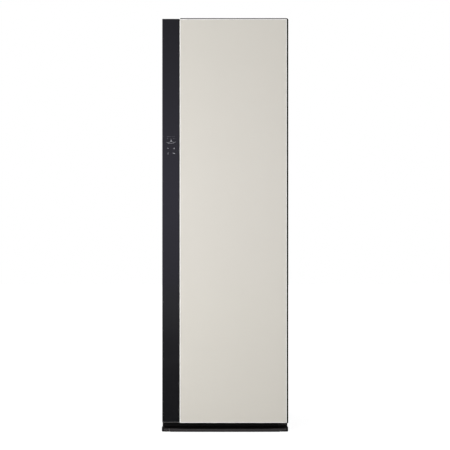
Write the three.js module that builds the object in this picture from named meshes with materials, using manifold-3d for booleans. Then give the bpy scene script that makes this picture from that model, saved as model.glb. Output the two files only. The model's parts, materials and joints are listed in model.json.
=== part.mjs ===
// A clothes care steam cabinet: a tall, slim steel cabinet with one full-height door.
// Behind the door are a wardrobe cavity with an oscillating hanger rail, a shelf and a lint
// filter, two water tanks, and a heat-pump and steam unit in the base. The trouser press is
// on the inside of the door. Millimetres, +Z up, front towards -Y, origin at the centre of
// the footprint on the floor.
import * as THREE from 'three';
import { mergeVertices } from 'three/addons/utils/BufferGeometryUtils.js';
import Module from 'manifold-3d';

const wasm = await Module();
wasm.setup();

// Driving sizes
const overallHeight = 1960;
const overallDepth = 596;
const cabinetWidth = 596;
const baseReach = 2; // the stand and the framed panel pass the cabinet's sides by this
const baseWidth = cabinetWidth + 2 * baseReach;
const gap = 0.3; // left between pieces that touch
const overrun = 2; // how far a cutter passes its work
const sheet = 1.2; // painted steel sheet
const linerWall = 3;

// Door layers, from the front back to the cabinet's face
const decorDepth = 15;
const doorCoreDepth = 42;
const doorLinerThickness = 2.5;
const gasketDepth = 5.3;
const bezelDepth = 10;
const spacerDepth = 10; // wall bumpers on the rear cover

// Heights
const doorBottomZ = 42;
const cabinetTopDrop = 20; // the cabinet's top lies this far below the door's
const standLift = 0.4;
const standHeight = 14.1;
const panHeight = 34.9;
const cavityFloorZ = 470;
const headSpace = 150; // from the cavity's ceiling to the cabinet's top
const sideWall = 43;
const backWall = 63;

const halfCabinet = cabinetWidth / 2;
const cavityHalf = halfCabinet - sideWall;
const decorFrontY = -overallDepth / 2;
const decorBackY = decorFrontY + decorDepth;
const coreFrontY = decorBackY + gap;
const coreBackY = coreFrontY + doorCoreDepth;
const doorLinerBackY = coreBackY + gap + doorLinerThickness;
const cabinetFrontY = doorLinerBackY + gap + gasketDepth + gap;
const shellFrontY = cabinetFrontY + bezelDepth + gap;
const rearY = overallDepth / 2 - spacerDepth;
const shellBackY = rearY - sheet - gap;
const cavityBackY = rearY - backWall;
const panBottomZ = standLift + standHeight + gap;
const panTopZ = panBottomZ + panHeight;
const shellBottomZ = panTopZ + gap;
const cabinetTopZ = overallHeight - cabinetTopDrop;
const shellTopZ = cabinetTopZ - sheet - gap;
const ceilingZ = cabinetTopZ - headSpace;
const deckZ = ceilingZ + linerWall + gap; // what stands on the ceiling starts here

// How finely round things are faceted
const fineSegments = 24;
const roundSegments = 20;
const plainSegments = 12;
const smallSegments = 10;
const cornerSegments = 3;

// Geometry helpers

function solidOf(geometry) {
  const bare = geometry.clone();
  bare.deleteAttribute('normal');
  bare.deleteAttribute('uv');
  const merged = mergeVertices(bare);
  return new wasm.Manifold(new wasm.Mesh({
    numProp: 3,
    vertProperties: merged.attributes.position.array,
    triVerts: new Uint32Array(merged.index.array),
  }));
}

function geometryOf(solid) {
  const mesh = solid.getMesh();
  const geometry = new THREE.BufferGeometry();
  geometry.setAttribute('position', new THREE.BufferAttribute(mesh.vertProperties, mesh.numProp));
  geometry.setIndex(new THREE.BufferAttribute(mesh.triVerts, 1));
  geometry.computeVertexNormals();
  return geometry;
}

// Joins geometries that overlap or share faces.
function join(...geometries) {
  return geometryOf(geometries.map(solidOf).reduce((sum, next) => sum.add(next)));
}

function cut(geometry, ...tools) {
  return geometryOf(tools.map(solidOf).reduce((rest, tool) => rest.subtract(tool), solidOf(geometry)));
}

// A rectangular block between pairs of coordinates.
function block([x0, x1], [y0, y1], [z0, z1]) {
  const box = new THREE.BoxGeometry(x1 - x0, y1 - y0, z1 - z0);
  return box.translate((x0 + x1) / 2, (y0 + y1) / 2, (z0 + z1) / 2);
}

// An outline carried along an axis. Along x the outline is drawn in (y, z), along y in (x, z).
function prism(shape, axis, from, to, bevel = 0) {
  const geometry = new THREE.ExtrudeGeometry(shape, {
    depth: to - from - 2 * bevel,
    curveSegments: cornerSegments,
    steps: 1,
    bevelEnabled: bevel > 0,
    bevelThickness: bevel,
    bevelSize: bevel,
    bevelOffset: -bevel,
    bevelSegments: 1,
  });
  const start = from + bevel;
  if (axis === 'z') return geometry.translate(0, 0, start);
  if (axis === 'y') return geometry.rotateX(Math.PI / 2).translate(0, to - bevel, 0);
  const turn = new THREE.Matrix4().set(0, 0, 1, 0, 1, 0, 0, 0, 0, 1, 0, 0, 0, 0, 0, 1);
  return geometry.applyMatrix4(turn).translate(start, 0, 0);
}

// A round bar along an axis; u and v are its centre in the other two coordinates, in x, y, z order.
function rod(axis, radius, from, to, u, v, segments = roundSegments) {
  const bar = new THREE.CylinderGeometry(radius, radius, to - from, segments);
  const middle = (from + to) / 2;
  if (axis === 'x') return bar.rotateZ(Math.PI / 2).translate(middle, u, v);
  if (axis === 'y') return bar.translate(u, middle, v);
  return bar.rotateX(Math.PI / 2).translate(u, v, middle);
}

// A rectangle whose corners have radii: one for all, or [low-left, low-right, top-right, top-left].
function roundedRect([x0, x1], [y0, y1], radius, Kind = THREE.Shape) {
  const [r0, r1, r2, r3] = Array.isArray(radius) ? radius : [radius, radius, radius, radius];
  const shape = new Kind();
  shape.moveTo(x0 + r0, y0);
  shape.lineTo(x1 - r1, y0);
  if (r1) shape.absarc(x1 - r1, y0 + r1, r1, -Math.PI / 2, 0);
  shape.lineTo(x1, y1 - r2);
  if (r2) shape.absarc(x1 - r2, y1 - r2, r2, 0, Math.PI / 2);
  shape.lineTo(x0 + r3, y1);
  if (r3) shape.absarc(x0 + r3, y1 - r3, r3, Math.PI / 2, Math.PI);
  if (r0) shape.lineTo(x0, y0 + r0);
  if (r0) shape.absarc(x0 + r0, y0 + r0, r0, Math.PI, 1.5 * Math.PI);
  shape.closePath();
  return shape;
}

// A rectangular ring in the plane of the door, carried along y.
function ring(outerX, outerZ, outerRadius, innerX, innerZ, innerRadius, y0, y1) {
  const shape = roundedRect(outerX, outerZ, outerRadius);
  shape.holes.push(roundedRect(innerX, innerZ, innerRadius, THREE.Path));
  return prism(shape, 'y', y0, y1);
}

function polygon(points) {
  return new THREE.Shape(points.map(([x, y]) => new THREE.Vector2(x, y)));
}

const evenly = (count, from, to) =>
  Array.from({ length: count }, (_, i) => from + (to - from) * (count > 1 ? i / (count - 1) : 0.5));

// Materials, as the photograph and the inside of such cabinets show them

const finish = (color, roughness, metalness = 0) =>
  new THREE.MeshStandardMaterial({ color, roughness, metalness });
const paintedSteel = finish(0x2a2827, 0.5, 0.3);
const blackPlastic = finish(0x161616, 0.55);
const greyPlastic = finish(0x8d8f91, 0.5);
const cabinPlastic = finish(0xc9cbcc, 0.45);
const foam = finish(0xe8e6e0, 0.95);
const rubber = finish(0x1b1b1c, 0.8);
const beigeGlass = finish(0xd7d2c6, 0.3);
const smokedGlass = finish(0x26252b, 0.12);
const anodised = finish(0x38362f, 0.35, 0.8);
const brightSteel = finish(0xb9bcc0, 0.3, 1);
const castAluminium = finish(0x9da0a4, 0.45, 0.9);
const circuitGreen = finish(0x1f4a33, 0.6);
const tankPlastic = finish(0x9fb4bd, 0.2);
const lampPlastic = finish(0xf3f1e8, 0.35);

// Base: stand, feet and base pan

const footRadius = 20;
const footStemRadius = 6;
const footInsetX = 62;
const footInsetY = 34;
const panFloor = 2;
const frontFootY = cabinetFrontY + footInsetY;
const rearFootY = shellBackY - footInsetY;
const footX = halfCabinet - footInsetX;

// One levelling foot, standing at its own origin: pad, collar and threaded stem.
function footGeometry() {
  const padHeight = 8;
  const collarRadius = 12;
  const collarFootZ = 12;
  const collarTopZ = panBottomZ - gap;
  const stemTopZ = panBottomZ + panFloor + standHeight;
  const profile = [
    [0, 0], [footRadius, 0], [footRadius, padHeight], [collarRadius, collarFootZ],
    [collarRadius, collarTopZ], [footStemRadius, collarTopZ], [footStemRadius, stemTopZ], [0, stemTopZ],
  ].map(([r, z]) => new THREE.Vector2(r, z));
  return new THREE.LatheGeometry(profile, plainSegments).rotateX(Math.PI / 2);
}

// The low stand that reaches forward under the door. Its front bows out, and the outer ends
// are set a little higher than the middle stretch.
function baseStand() {
  const bow = 3;
  const cornerRadius = 12;
  const bevel = 1.2;
  const backReach = 120;
  const endLift = 1.4;
  const endPiece = 38;
  const seamWidth = 1.2;
  const seamDepth = 1.5;
  const holeClearance = 1.5;
  const half = baseWidth / 2;
  const middleY = decorFrontY; // flush with the door's front
  const endY = middleY + bow;
  const backY = cabinetFrontY + backReach;
  const topZ = standLift + standHeight;
  const plan = new THREE.Shape();
  plan.moveTo(-half, backY);
  plan.lineTo(-half, endY + cornerRadius);
  plan.absarc(-half + cornerRadius, endY + cornerRadius, cornerRadius, Math.PI, 1.5 * Math.PI);
  plan.quadraticCurveTo(0, middleY - bow, half - cornerRadius, endY);
  plan.absarc(half - cornerRadius, endY + cornerRadius, cornerRadius, -Math.PI / 2, 0);
  plan.lineTo(half, backY);
  plan.closePath();
  const seamAt = (x) => block([x - seamWidth / 2, x + seamWidth / 2],
    [middleY - overrun, endY + seamDepth], [standLift - overrun, topZ + overrun]);
  const lift = (x0, x1) => block([x0, x1], [middleY - overrun, backY + overrun],
    [standLift - overrun, standLift + endLift]);
  const footHole = (x) => rod('z', footRadius + holeClearance, standLift - overrun, topZ + overrun,
    x, frontFootY);
  return cut(prism(plan, 'z', standLift, topZ, bevel),
    seamAt(-half + endPiece), seamAt(half - endPiece),
    lift(-half - overrun, -half + endPiece), lift(half - endPiece, half + overrun),
    footHole(-footX), footHole(footX));
}

// The steel tray that carries the machine; its front wall is the plinth seen under the door.
function basePan() {
  const wall = 3;
  const x = [-halfCabinet, halfCabinet];
  const floorTop = panBottomZ + panFloor;
  const pocket = block([x[0] + wall, x[1] - wall], [cabinetFrontY + wall, shellBackY - wall],
    [floorTop, panTopZ + overrun]);
  const stemHole = (px, py) => rod('z', footStemRadius + gap, panBottomZ - overrun, floorTop + overrun,
    px, py, roundSegments);
  const holes = [-footX, footX].flatMap((px) => [stemHole(px, frontFootY), stemHole(px, rearFootY)]);
  return cut(block(x, [cabinetFrontY, shellBackY], [panBottomZ, panTopZ]), pocket, ...holes);
}

const machineFloorZ = panBottomZ + panFloor + gap;

// Outer shell

const flange = 15;

// A folded side panel with a return flange at its front and back edge; side is -1 or 1.
function sidePanel(side) {
  const outer = side * halfCabinet;
  const inner = side * (halfCabinet - sheet);
  const lip = side * (halfCabinet - sheet - flange);
  return prism(polygon([
    [lip, shellFrontY], [outer, shellFrontY], [outer, shellBackY], [lip, shellBackY],
    [lip, shellBackY - sheet], [inner, shellBackY - sheet], [inner, shellFrontY + sheet],
    [lip, shellFrontY + sheet],
  ]), 'z', shellBottomZ, shellTopZ);
}

function topCover() {
  const lipDrop = 12;
  const lipX = halfCabinet - sheet - flange - gap;
  const lipZ = [shellTopZ + gap - lipDrop, cabinetTopZ - sheet / 2];
  const lip = (y0) => block([-lipX, lipX], [y0, y0 + sheet], lipZ);
  return join(
    block([-halfCabinet, halfCabinet], [cabinetFrontY, shellBackY], [cabinetTopZ - sheet, cabinetTopZ]),
    lip(shellFrontY), lip(shellBackY - sheet));
}

// The back sheet, with louvre slots over the machine space, a collared cable hole and two
// wall bumpers.
function rearCover() {
  const slotLength = 150;
  const slotHeight = 6;
  const slotPitch = 16;
  const slotRows = 5;
  const slotX = 150;
  const firstSlotZ = 180;
  const cableRadius = 7;
  const cableCollar = 4;
  const cableX = 220;
  const cableZ = 100;
  const bumperWidth = 46;
  const bumperHeight = 60;
  const bumperX = 200;
  const bumperDrop = 120;
  const bumperRadius = 10;
  const halfLength = slotLength / 2;
  const depth = [rearY - sheet - overrun, rearY + overrun];
  const slots = [-slotX, slotX].flatMap((x) => Array.from({ length: slotRows }, (_, row) => {
    const z = firstSlotZ + row * slotPitch;
    return block([x - halfLength, x + halfLength], depth, [z, z + slotHeight]);
  }));
  const plate = block([-halfCabinet, halfCabinet], [rearY - sheet, rearY], [shellBottomZ, cabinetTopZ]);
  const collar = rod('y', cableRadius + cableCollar, rearY - sheet / 2, rearY + cableCollar, cableX, cableZ);
  const bumperZ = cabinetTopZ - bumperDrop;
  const bumper = (x) => prism(roundedRect([x - bumperWidth / 2, x + bumperWidth / 2],
    [bumperZ - bumperHeight / 2, bumperZ + bumperHeight / 2], bumperRadius),
  'y', rearY - sheet / 2, rearY + spacerDepth);
  return cut(join(plate, collar, bumper(-bumperX), bumper(bumperX)), ...slots,
    rod('y', cableRadius, depth[0], rearY + cableCollar + overrun, cableX, cableZ));
}

// Tank bay sizes, which the bezel's lower opening follows
const tankSideSpace = 55; // what the cavity's half width leaves beside one tank
const tankWidth = cavityHalf - tankSideSpace;
const tankHeight = 196;
const tankDepth = 125;
const tankRadius = 10;
const tankClear = 4;
const tankInset = 27; // from the cabinet's face to the tanks' fronts
const bayRib = 6;
const bayFloorZ = 160;
const bayHalf = tankWidth + 2 * tankClear + bayRib / 2;
const bayTopZ = bayFloorZ + tankHeight + 2 * tankClear;
const tankFrontY = cabinetFrontY + tankInset;

// The moulded face of the cabinet that the gasket closes on.
function frontBezel() {
  const cornerRadius = 12;
  const bayRadius = 8;
  const face = roundedRect([-halfCabinet, halfCabinet], [shellBottomZ, shellTopZ], 0);
  face.holes.push(roundedRect([-cavityHalf, cavityHalf], [cavityFloorZ, ceilingZ], cornerRadius, THREE.Path));
  face.holes.push(roundedRect([-bayHalf, bayHalf], [bayFloorZ, bayTopZ], bayRadius, THREE.Path));
  return prism(face, 'y', cabinetFrontY, cabinetFrontY + bezelDepth);
}

// The foam shell between the outer panels and the liner, open at the front.
function insulationShell() {
  const outer = halfCabinet - sheet - gap;
  const inner = cavityHalf + linerWall + gap;
  const y = [shellFrontY + sheet + gap, shellBackY - sheet - gap];
  const z = [shellBottomZ + gap, shellTopZ - gap];
  const backBottomZ = cavityFloorZ - linerWall;
  return join(
    block([-outer, -inner], y, z),
    block([inner, outer], y, z),
    block([-outer, outer], [cavityBackY + linerWall + gap, y[1]], [backBottomZ, z[1]]));
}

// Cavity liner panels

const shelfLift = 90;
const shelfZ = cavityFloorZ + shelfLift;
const shelfFrontSpace = 92;
const shelfBackSpace = 25;
const shelfFrontY = cabinetFrontY + shelfFrontSpace;
const shelfBackY = cavityBackY - shelfBackSpace;
const ledgeReach = 12;
const ledgeHeight = 10;
const linerX = cavityHalf + linerWall;
const shelfTravel = 80;

// One cavity side wall with its shelf ledge and stiffening ribs; side is -1 or 1.
function linerSide(side) {
  const ribWidth = 22;
  const ribReach = 2.5;
  const ribCount = 3;
  const ribMargin = 90;
  const ribBottomZ = shelfZ + shelfTravel + ribMargin;
  const z = [cavityFloorZ + gap, ceilingZ - gap];
  const across = (from, to) => (side > 0 ? [-to, -from] : [from, to]);
  const wall = block(across(-linerX, -cavityHalf), [shellFrontY, cavityBackY - gap], z);
  const ledge = block(across(-cavityHalf - linerWall / 2, -cavityHalf + ledgeReach),
    [shelfFrontY, shelfBackY], [shelfZ - gap - ledgeHeight, shelfZ - gap]);
  const ribs = evenly(ribCount, shellFrontY + ribMargin, cavityBackY - ribMargin).map((y) =>
    block(across(-cavityHalf - linerWall / 2, -cavityHalf + ribReach),
      [y - ribWidth / 2, y + ribWidth / 2], [ribBottomZ, z[1] - ribMargin]));
  return join(wall, ledge, ...ribs);
}

// The cavity's back wall with a raised central field.
function linerBack() {
  const fieldReach = 4;
  const fieldMarginX = 45;
  const fieldMarginZ = 70;
  const fieldRadius = 20;
  const fieldX = [-cavityHalf + fieldMarginX, cavityHalf - fieldMarginX];
  const fieldZ = [shelfZ + shelfTravel + fieldMarginZ, ceilingZ - fieldMarginZ];
  return join(
    block([-linerX, linerX], [cavityBackY, cavityBackY + linerWall], [cavityFloorZ + gap, ceilingZ - gap]),
    prism(roundedRect(fieldX, fieldZ, fieldRadius), 'y', cavityBackY - fieldReach,
      cavityBackY + linerWall / 2));
}

// Oscillating hanger drive: places and sizes that the ceiling, frame and carriage share
const crankRadius = 24; // pin circle
const hangerTravel = 22; // each way from the middle
const armX = 120;
const armWidth = 16;
const armDepth = 16;
const railRodY = 60;
const railRodRadius = 6;
const railRodLift = 37;
const railRodZ = deckZ + railRodLift;
const slotClear = 3;
const hangerBarDrop = 90;
const hangerBarZ = ceilingZ - hangerBarDrop;
const hangerBarHeight = 14;
const armSlotX = armWidth / 2 + hangerTravel + slotClear;
const armSlotY = armDepth / 2 + slotClear;

const lampLength = 120;
const lampWidth = 28;
const lampFrontSpace = 60;
const lampY = cabinetFrontY + lampFrontSpace;
const lampStemShare = 0.8;

const armSlots = (z0, z1) => [-armX, armX].map((x) =>
  block([x - armSlotX, x + armSlotX], [-armSlotY, armSlotY], [z0, z1]));

function linerCeiling() {
  const stem = [lampLength, lampWidth].map((size) => (size * lampStemShare) / 2 + gap);
  return cut(
    block([-linerX, linerX], [shellFrontY, cavityBackY + linerWall], [ceilingZ, ceilingZ + linerWall]),
    ...armSlots(ceilingZ - overrun, ceilingZ + linerWall + overrun),
    block([-stem[0], stem[0]], [lampY - stem[1], lampY + stem[1]],
      [ceilingZ - overrun, ceilingZ + linerWall + overrun]));
}

function ceilingLamp() {
  const lensDrop = 5;
  const stem = [lampLength, lampWidth].map((size) => (size * lampStemShare) / 2);
  const lens = roundedRect([-lampLength / 2, lampLength / 2], [lampY - lampWidth / 2, lampY + lampWidth / 2],
    lampWidth / 2);
  return join(prism(lens, 'z', ceilingZ - gap - lensDrop, ceilingZ - gap),
    block([-stem[0], stem[0]], [lampY - stem[1], lampY + stem[1]],
      [ceilingZ - lensDrop / 2, ceilingZ + linerWall]));
}

// Steam boiler under the tank bay, and the nozzle's place behind it
const boilerSideSpace = 45;
const boilerWidth = 160;
const boilerX = [-cavityHalf + boilerSideSpace, -cavityHalf + boilerSideSpace + boilerWidth];
const boilerDepth = 108;
const boilerHeight = 86;
const boilerFrontSpace = 40;
const boilerY = [cabinetFrontY + boilerFrontSpace, cabinetFrontY + boilerFrontSpace + boilerDepth];
const nozzleBack = 39; // behind the boiler
const nozzleRight = 110; // from the boiler's left side
const nozzleX = boilerX[0] + nozzleRight;
const nozzleY = boilerY[1] + nozzleBack;

// Floor fittings: the filter, the fragrance cartridge, the steam nozzle and the air outlet
const floorFrontMargin = 27;
const filterSideSpace = 25;
const filterWidthShare = 0.745; // of the cavity's half width
const filterX = [cavityHalf - filterSideSpace - cavityHalf * filterWidthShare, cavityHalf - filterSideSpace];
const filterDepth = 40;
const filterDrop = 52;
const cartridgeSideSpace = 29;
const cartridgeWidth = 60;
const cartridgeX = [-cavityHalf + cartridgeSideSpace, -cavityHalf + cartridgeSideSpace + cartridgeWidth];
const cartridgeDepth = 46;
const cartridgeDrop = 38;
const fittingWall = 2;
const fittingLip = 5;
const fittingY = cabinetFrontY + floorFrontMargin;
const nozzleRadius = 9.5;
const nozzleClear = 0.7;
const outletSideSpace = 39;
const outletWidth = 76;
const outletX = [-cavityHalf + outletSideSpace, -cavityHalf + outletSideSpace + outletWidth];
const outletBackSpace = 17;
const outletDepth = 82;
const outletY = [cavityBackY - outletBackSpace - outletDepth, cavityBackY - outletBackSpace];
const outletSlots = 7;
const outletSlotShare = 0.45;

function linerFloor() {
  const z = [cavityFloorZ - linerWall, cavityFloorZ];
  const zCut = [z[0] - overrun, z[1] + overrun];
  const wells = [[filterX, filterDepth], [cartridgeX, cartridgeDepth]].map(([x, depth]) =>
    block([x[0] - gap, x[1] + gap], [fittingY - gap, fittingY + depth + gap], zCut));
  const pitch = (outletY[1] - outletY[0]) / outletSlots;
  const slots = Array.from({ length: outletSlots }, (_, i) => {
    const y = outletY[0] + i * pitch;
    return block(outletX, [y, y + pitch * outletSlotShare], zCut);
  });
  return cut(block([-linerX, linerX], [shellFrontY, cavityBackY + linerWall], z), ...wells, ...slots,
    rod('z', nozzleRadius + nozzleClear, zCut[0], zCut[1], nozzleX, nozzleY, plainSegments));
}

// Lint filter: a lattice cassette that hangs in the floor by its lip, with a pull handle.
function lintFilter() {
  const lipHeight = 4;
  const barCount = 5;
  const barWidth = 3;
  const gripLength = 60;
  const gripHeight = 14;
  const gripThickness = 6;
  const topZ = cavityFloorZ + gap + lipHeight;
  const bottomZ = cavityFloorZ - filterDrop;
  const y = [fittingY, fittingY + filterDepth];
  const body = block(filterX, y, [bottomZ, topZ - lipHeight / 2]);
  const lip = block([filterX[0] - fittingLip, filterX[1] + fittingLip],
    [y[0] - fittingLip, y[1] + fittingLip], [cavityFloorZ + gap, topZ]);
  const edges = evenly(barCount + 1, filterX[0] + fittingWall, filterX[1] - fittingWall);
  const windowZ = [bottomZ + fittingWall, cavityFloorZ - linerWall - fittingWall];
  const windows = edges.slice(0, -1).map((x, i) =>
    block([x + barWidth / 2, edges[i + 1] - barWidth / 2], [y[0] - overrun, y[1] + overrun], windowZ));
  const middle = (filterX[0] + filterX[1]) / 2;
  const centreY = (y[0] + y[1]) / 2;
  const grip = block([middle - gripLength / 2, middle + gripLength / 2],
    [centreY - gripThickness / 2, centreY + gripThickness / 2], [topZ - lipHeight / 2, topZ + gripHeight]);
  return cut(join(body, lip, grip), ...windows);
}

// Fragrance cartridge: a small box with slots in its lid.
function aromaCartridge() {
  const lidHeight = 4;
  const slotCount = 4;
  const slotDepth = 2.5;
  const slotWidth = 3;
  const slotShare = 0.6;
  const topZ = cavityFloorZ + gap + lidHeight;
  const y = [fittingY, fittingY + cartridgeDepth];
  const lid = roundedRect([cartridgeX[0] - fittingLip, cartridgeX[1] + fittingLip],
    [y[0] - fittingLip, y[1] + fittingLip], fittingLip);
  const middle = (cartridgeX[0] + cartridgeX[1]) / 2;
  const half = ((cartridgeX[1] - cartridgeX[0]) / 2) * slotShare;
  const slots = evenly(slotCount, y[0] + slotWidth * 2, y[1] - slotWidth * 2).map((sy) =>
    block([middle - half, middle + half], [sy - slotWidth / 2, sy + slotWidth / 2],
      [topZ - slotDepth, topZ + overrun]));
  return cut(join(block(cartridgeX, y, [cavityFloorZ - cartridgeDrop, topZ - lidHeight / 2]),
    prism(lid, 'z', cavityFloorZ + gap, topZ)), ...slots);
}

// A lattice shelf that rests on the ledges and lifts out.
function shelf() {
  const thickness = 16;
  const rim = 14;
  const cornerRadius = 14;
  const slotCount = 11;
  const barWidth = 9;
  const sideClear = 3;
  const crossBar = 14;
  const half = cavityHalf - sideClear;
  const edges = evenly(slotCount + 1, -half + rim, half - rim);
  const middleY = (shelfFrontY + shelfBackY) / 2;
  const rows = [[shelfFrontY + rim, middleY - crossBar / 2], [middleY + crossBar / 2, shelfBackY - rim]];
  const z = [shelfZ, shelfZ + thickness];
  const slots = rows.flatMap((y) => edges.slice(0, -1).map((x, i) =>
    block([x + barWidth / 2, edges[i + 1] - barWidth / 2], y, [z[0] - overrun, z[1] + overrun])));
  return cut(prism(roundedRect([-half, half], [shelfFrontY, shelfBackY], cornerRadius), 'z', ...z), ...slots);
}

// Two-pocket bay that the water tanks slide into.
function tankBay() {
  const wall = 3;
  const outer = [bayHalf + wall, bayFloorZ - wall, bayTopZ + wall];
  const backY = tankFrontY + tankDepth + tankClear;
  const pocket = (side) => {
    const x = [bayRib / 2, bayHalf].map((value) => side * value).sort((a, b) => a - b);
    return block(x, [shellFrontY - overrun, backY], [bayFloorZ, bayTopZ]);
  };
  return cut(block([-outer[0], outer[0]], [shellFrontY, backY + wall], [outer[1], outer[2]]),
    pocket(-1), pocket(1));
}

// One water tank about its own origin, at the middle of its front bottom edge: a hollow
// rounded box with a finger scoop in its front and a filler neck in its roof.
const tankWall = 2.5;
const scoopWidth = 92;
const scoopHeight = 34;
const scoopDepth = 24;
const scoopDrop = 26;
const neckRadius = 24;
const neckWall = 3;
const neckHeight = 2.5;
const neckBack = 42;
function waterTank() {
  const bevel = 3;
  const outline = (inset) => roundedRect([inset - tankWidth / 2, tankWidth / 2 - inset],
    [inset, tankDepth - inset], tankRadius - inset);
  const scoopShape = (grow) => roundedRect([-scoopWidth / 2 - grow, scoopWidth / 2 + grow],
    [tankHeight - scoopDrop - scoopHeight - grow, tankHeight - scoopDrop + grow], scoopHeight / 4);
  const neckY = tankDepth - neckBack;
  const shell = join(prism(outline(0), 'z', 0, tankHeight, bevel),
    rod('z', neckRadius, tankHeight - tankWall, tankHeight + neckHeight, 0, neckY, plainSegments));
  const hollow = cut(prism(outline(tankWall + bevel), 'z', tankWall, tankHeight - tankWall),
    prism(scoopShape(tankWall), 'y', 0, scoopDepth + tankWall));
  const mouth = rod('z', neckRadius - neckWall, tankHeight / 2, tankHeight + neckHeight + overrun, 0, neckY,
    plainSegments);
  return cut(shell, hollow, mouth, prism(scoopShape(0), 'y', -overrun, scoopDepth));
}

// Hanger drive

const bridgeHalf = 45;
const discLift = 16; // crank disc above the guide rods
const crankDiscZ = railRodZ + discLift;
const crankDiscHeight = 8;
const bridgeLift = 22;
const bridgeZ = crankDiscZ + crankDiscHeight + bridgeLift;
const bridgeSheet = 4;
const shaftRadius = 5;
const frameEndX = 198;
const frameHalfY = 88;
const uprightWidth = 10;
const frameBase = 3;

// Pressed frame on the ceiling with end plates for the guide rods and a bridge for the motor.
function driveFrame() {
  const rodMargin = 14;
  const legWidth = 6;
  const uprightTop = railRodZ + railRodRadius + rodMargin;
  const base = cut(block([-frameEndX, frameEndX], [-frameHalfY, frameHalfY], [deckZ, deckZ + frameBase]),
    ...armSlots(deckZ - overrun, deckZ + frameBase + overrun));
  const upright = (side) => {
    const x = [side * (frameEndX - uprightWidth), side * frameEndX].sort((a, b) => a - b);
    return block(x, [-frameHalfY, frameHalfY], [deckZ, uprightTop]);
  };
  const leg = (side) => {
    const y = [side * (frameHalfY - legWidth), side * frameHalfY].sort((a, b) => a - b);
    return block([-bridgeHalf, bridgeHalf], y, [deckZ, bridgeZ + bridgeSheet]);
  };
  const bridge = block([-bridgeHalf, bridgeHalf], [-frameHalfY, frameHalfY],
    [bridgeZ, bridgeZ + bridgeSheet]);
  const rodHoles = [-railRodY, railRodY].map((y) =>
    rod('x', railRodRadius + gap, -frameEndX - overrun, frameEndX + overrun, y, railRodZ, smallSegments));
  return cut(join(base, upright(-1), upright(1), leg(-1), leg(1), bridge), ...rodHoles,
    rod('z', shaftRadius + gap, bridgeZ - overrun, bridgeZ + bridgeSheet + overrun, 0, 0));
}

function guideRod(y) {
  const endInset = 0.5;
  return rod('x', railRodRadius, -frameEndX + endInset, frameEndX - endInset, y, railRodZ, smallSegments);
}

function driveMotor() {
  const bodyRadius = 30;
  const capRadius = 20;
  const bodyHeight = 34;
  const capHeight = 6;
  const z = bridgeZ + bridgeSheet + gap;
  return join(rod('z', bodyRadius, z, z + bodyHeight, 0, 0),
    rod('z', capRadius, z + bodyHeight / 2, z + bodyHeight + capHeight, 0, 0));
}

// Crank about its own axis: shaft, disc and the eccentric pin that drives the yoke.
const crankPinRadius = 5;
const yokeThickness = 8;
function crank() {
  const discMargin = 5;
  const pinReach = 4;
  const discRadius = crankRadius + crankPinRadius + discMargin;
  const pinEnd = railRodZ - yokeThickness / 2 - pinReach;
  return join(
    rod('z', shaftRadius, crankDiscZ, bridgeZ + bridgeSheet, 0, 0, smallSegments * 2),
    rod('z', discRadius, crankDiscZ, crankDiscZ + crankDiscHeight, 0, 0, fineSegments),
    rod('z', crankPinRadius, pinEnd, crankDiscZ + crankDiscHeight / 2, 0, crankRadius, smallSegments * 2));
}

// The carriage: yoke plate with a slot for the crank pin, sleeves on the rods, and two arms
// that reach through the ceiling to the hanger bar.
function hangerCarriage() {
  const pinPlay = 1.5; // lets a constant ratio stand for the crank's sine
  const sleeveLength = 40;
  const sleeveWall = 5;
  const slotEndClear = 2;
  const plateHalfY = railRodY - railRodRadius;
  const z = [railRodZ - yokeThickness / 2, railRodZ + yokeThickness / 2];
  const plateX = armX + sleeveLength / 2;
  const plate = block([-plateX, plateX], [-plateHalfY, plateHalfY], z);
  const sleeveSize = railRodRadius + sleeveWall;
  const sleeve = (x, y) => block([x - sleeveLength / 2, x + sleeveLength / 2],
    [y - sleeveSize, y + sleeveSize], [railRodZ - sleeveSize, railRodZ + sleeveSize]);
  const sleeves = [-armX, armX].flatMap((x) => [sleeve(x, -railRodY), sleeve(x, railRodY)]);
  const arm = (x) => block([x - armWidth / 2, x + armWidth / 2], [-armDepth / 2, armDepth / 2],
    [hangerBarZ + hangerBarHeight / 2 + gap, z[1]]);
  const bores = [-railRodY, railRodY].map((y) =>
    rod('x', railRodRadius + 2 * gap, -plateX - overrun, plateX + overrun, y, railRodZ, plainSegments));
  const slotHalfX = crankPinRadius + pinPlay;
  const slotHalfY = crankRadius + crankPinRadius + slotEndClear;
  return cut(join(plate, ...sleeves, arm(-armX), arm(armX)), ...bores,
    block([-slotHalfX, slotHalfX], [-slotHalfY, slotHalfY], [z[0] - overrun, z[1] + overrun]));
}

// The bar that hangers hook over, with raised collars that keep them apart.
function hangerBar() {
  const endClear = 14;
  const width = 22;
  const collarHeight = 3;
  const collarLength = 6;
  const collarCount = 7;
  const half = cavityHalf - hangerTravel - endClear;
  const edge = 4;
  const y = [-width / 2, width / 2];
  const z = [hangerBarZ - hangerBarHeight / 2, hangerBarZ + hangerBarHeight / 2];
  const section = polygon([
    [y[0] + edge, z[0]], [y[1] - edge, z[0]], [y[1], z[0] + edge], [y[1], z[1] - edge],
    [y[1] - edge, z[1]], [y[0] + edge, z[1]], [y[0], z[1] - edge], [y[0], z[0] + edge],
  ]);
  const collars = evenly(collarCount, -half + collarLength, half - collarLength).map((x) =>
    block([x - collarLength / 2, x + collarLength / 2], [y[0] - collarHeight, y[1] + collarHeight],
      [z[0] - collarHeight, z[1] + collarHeight]));
  return join(prism(section, 'x', -half, half), ...collars);
}

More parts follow.
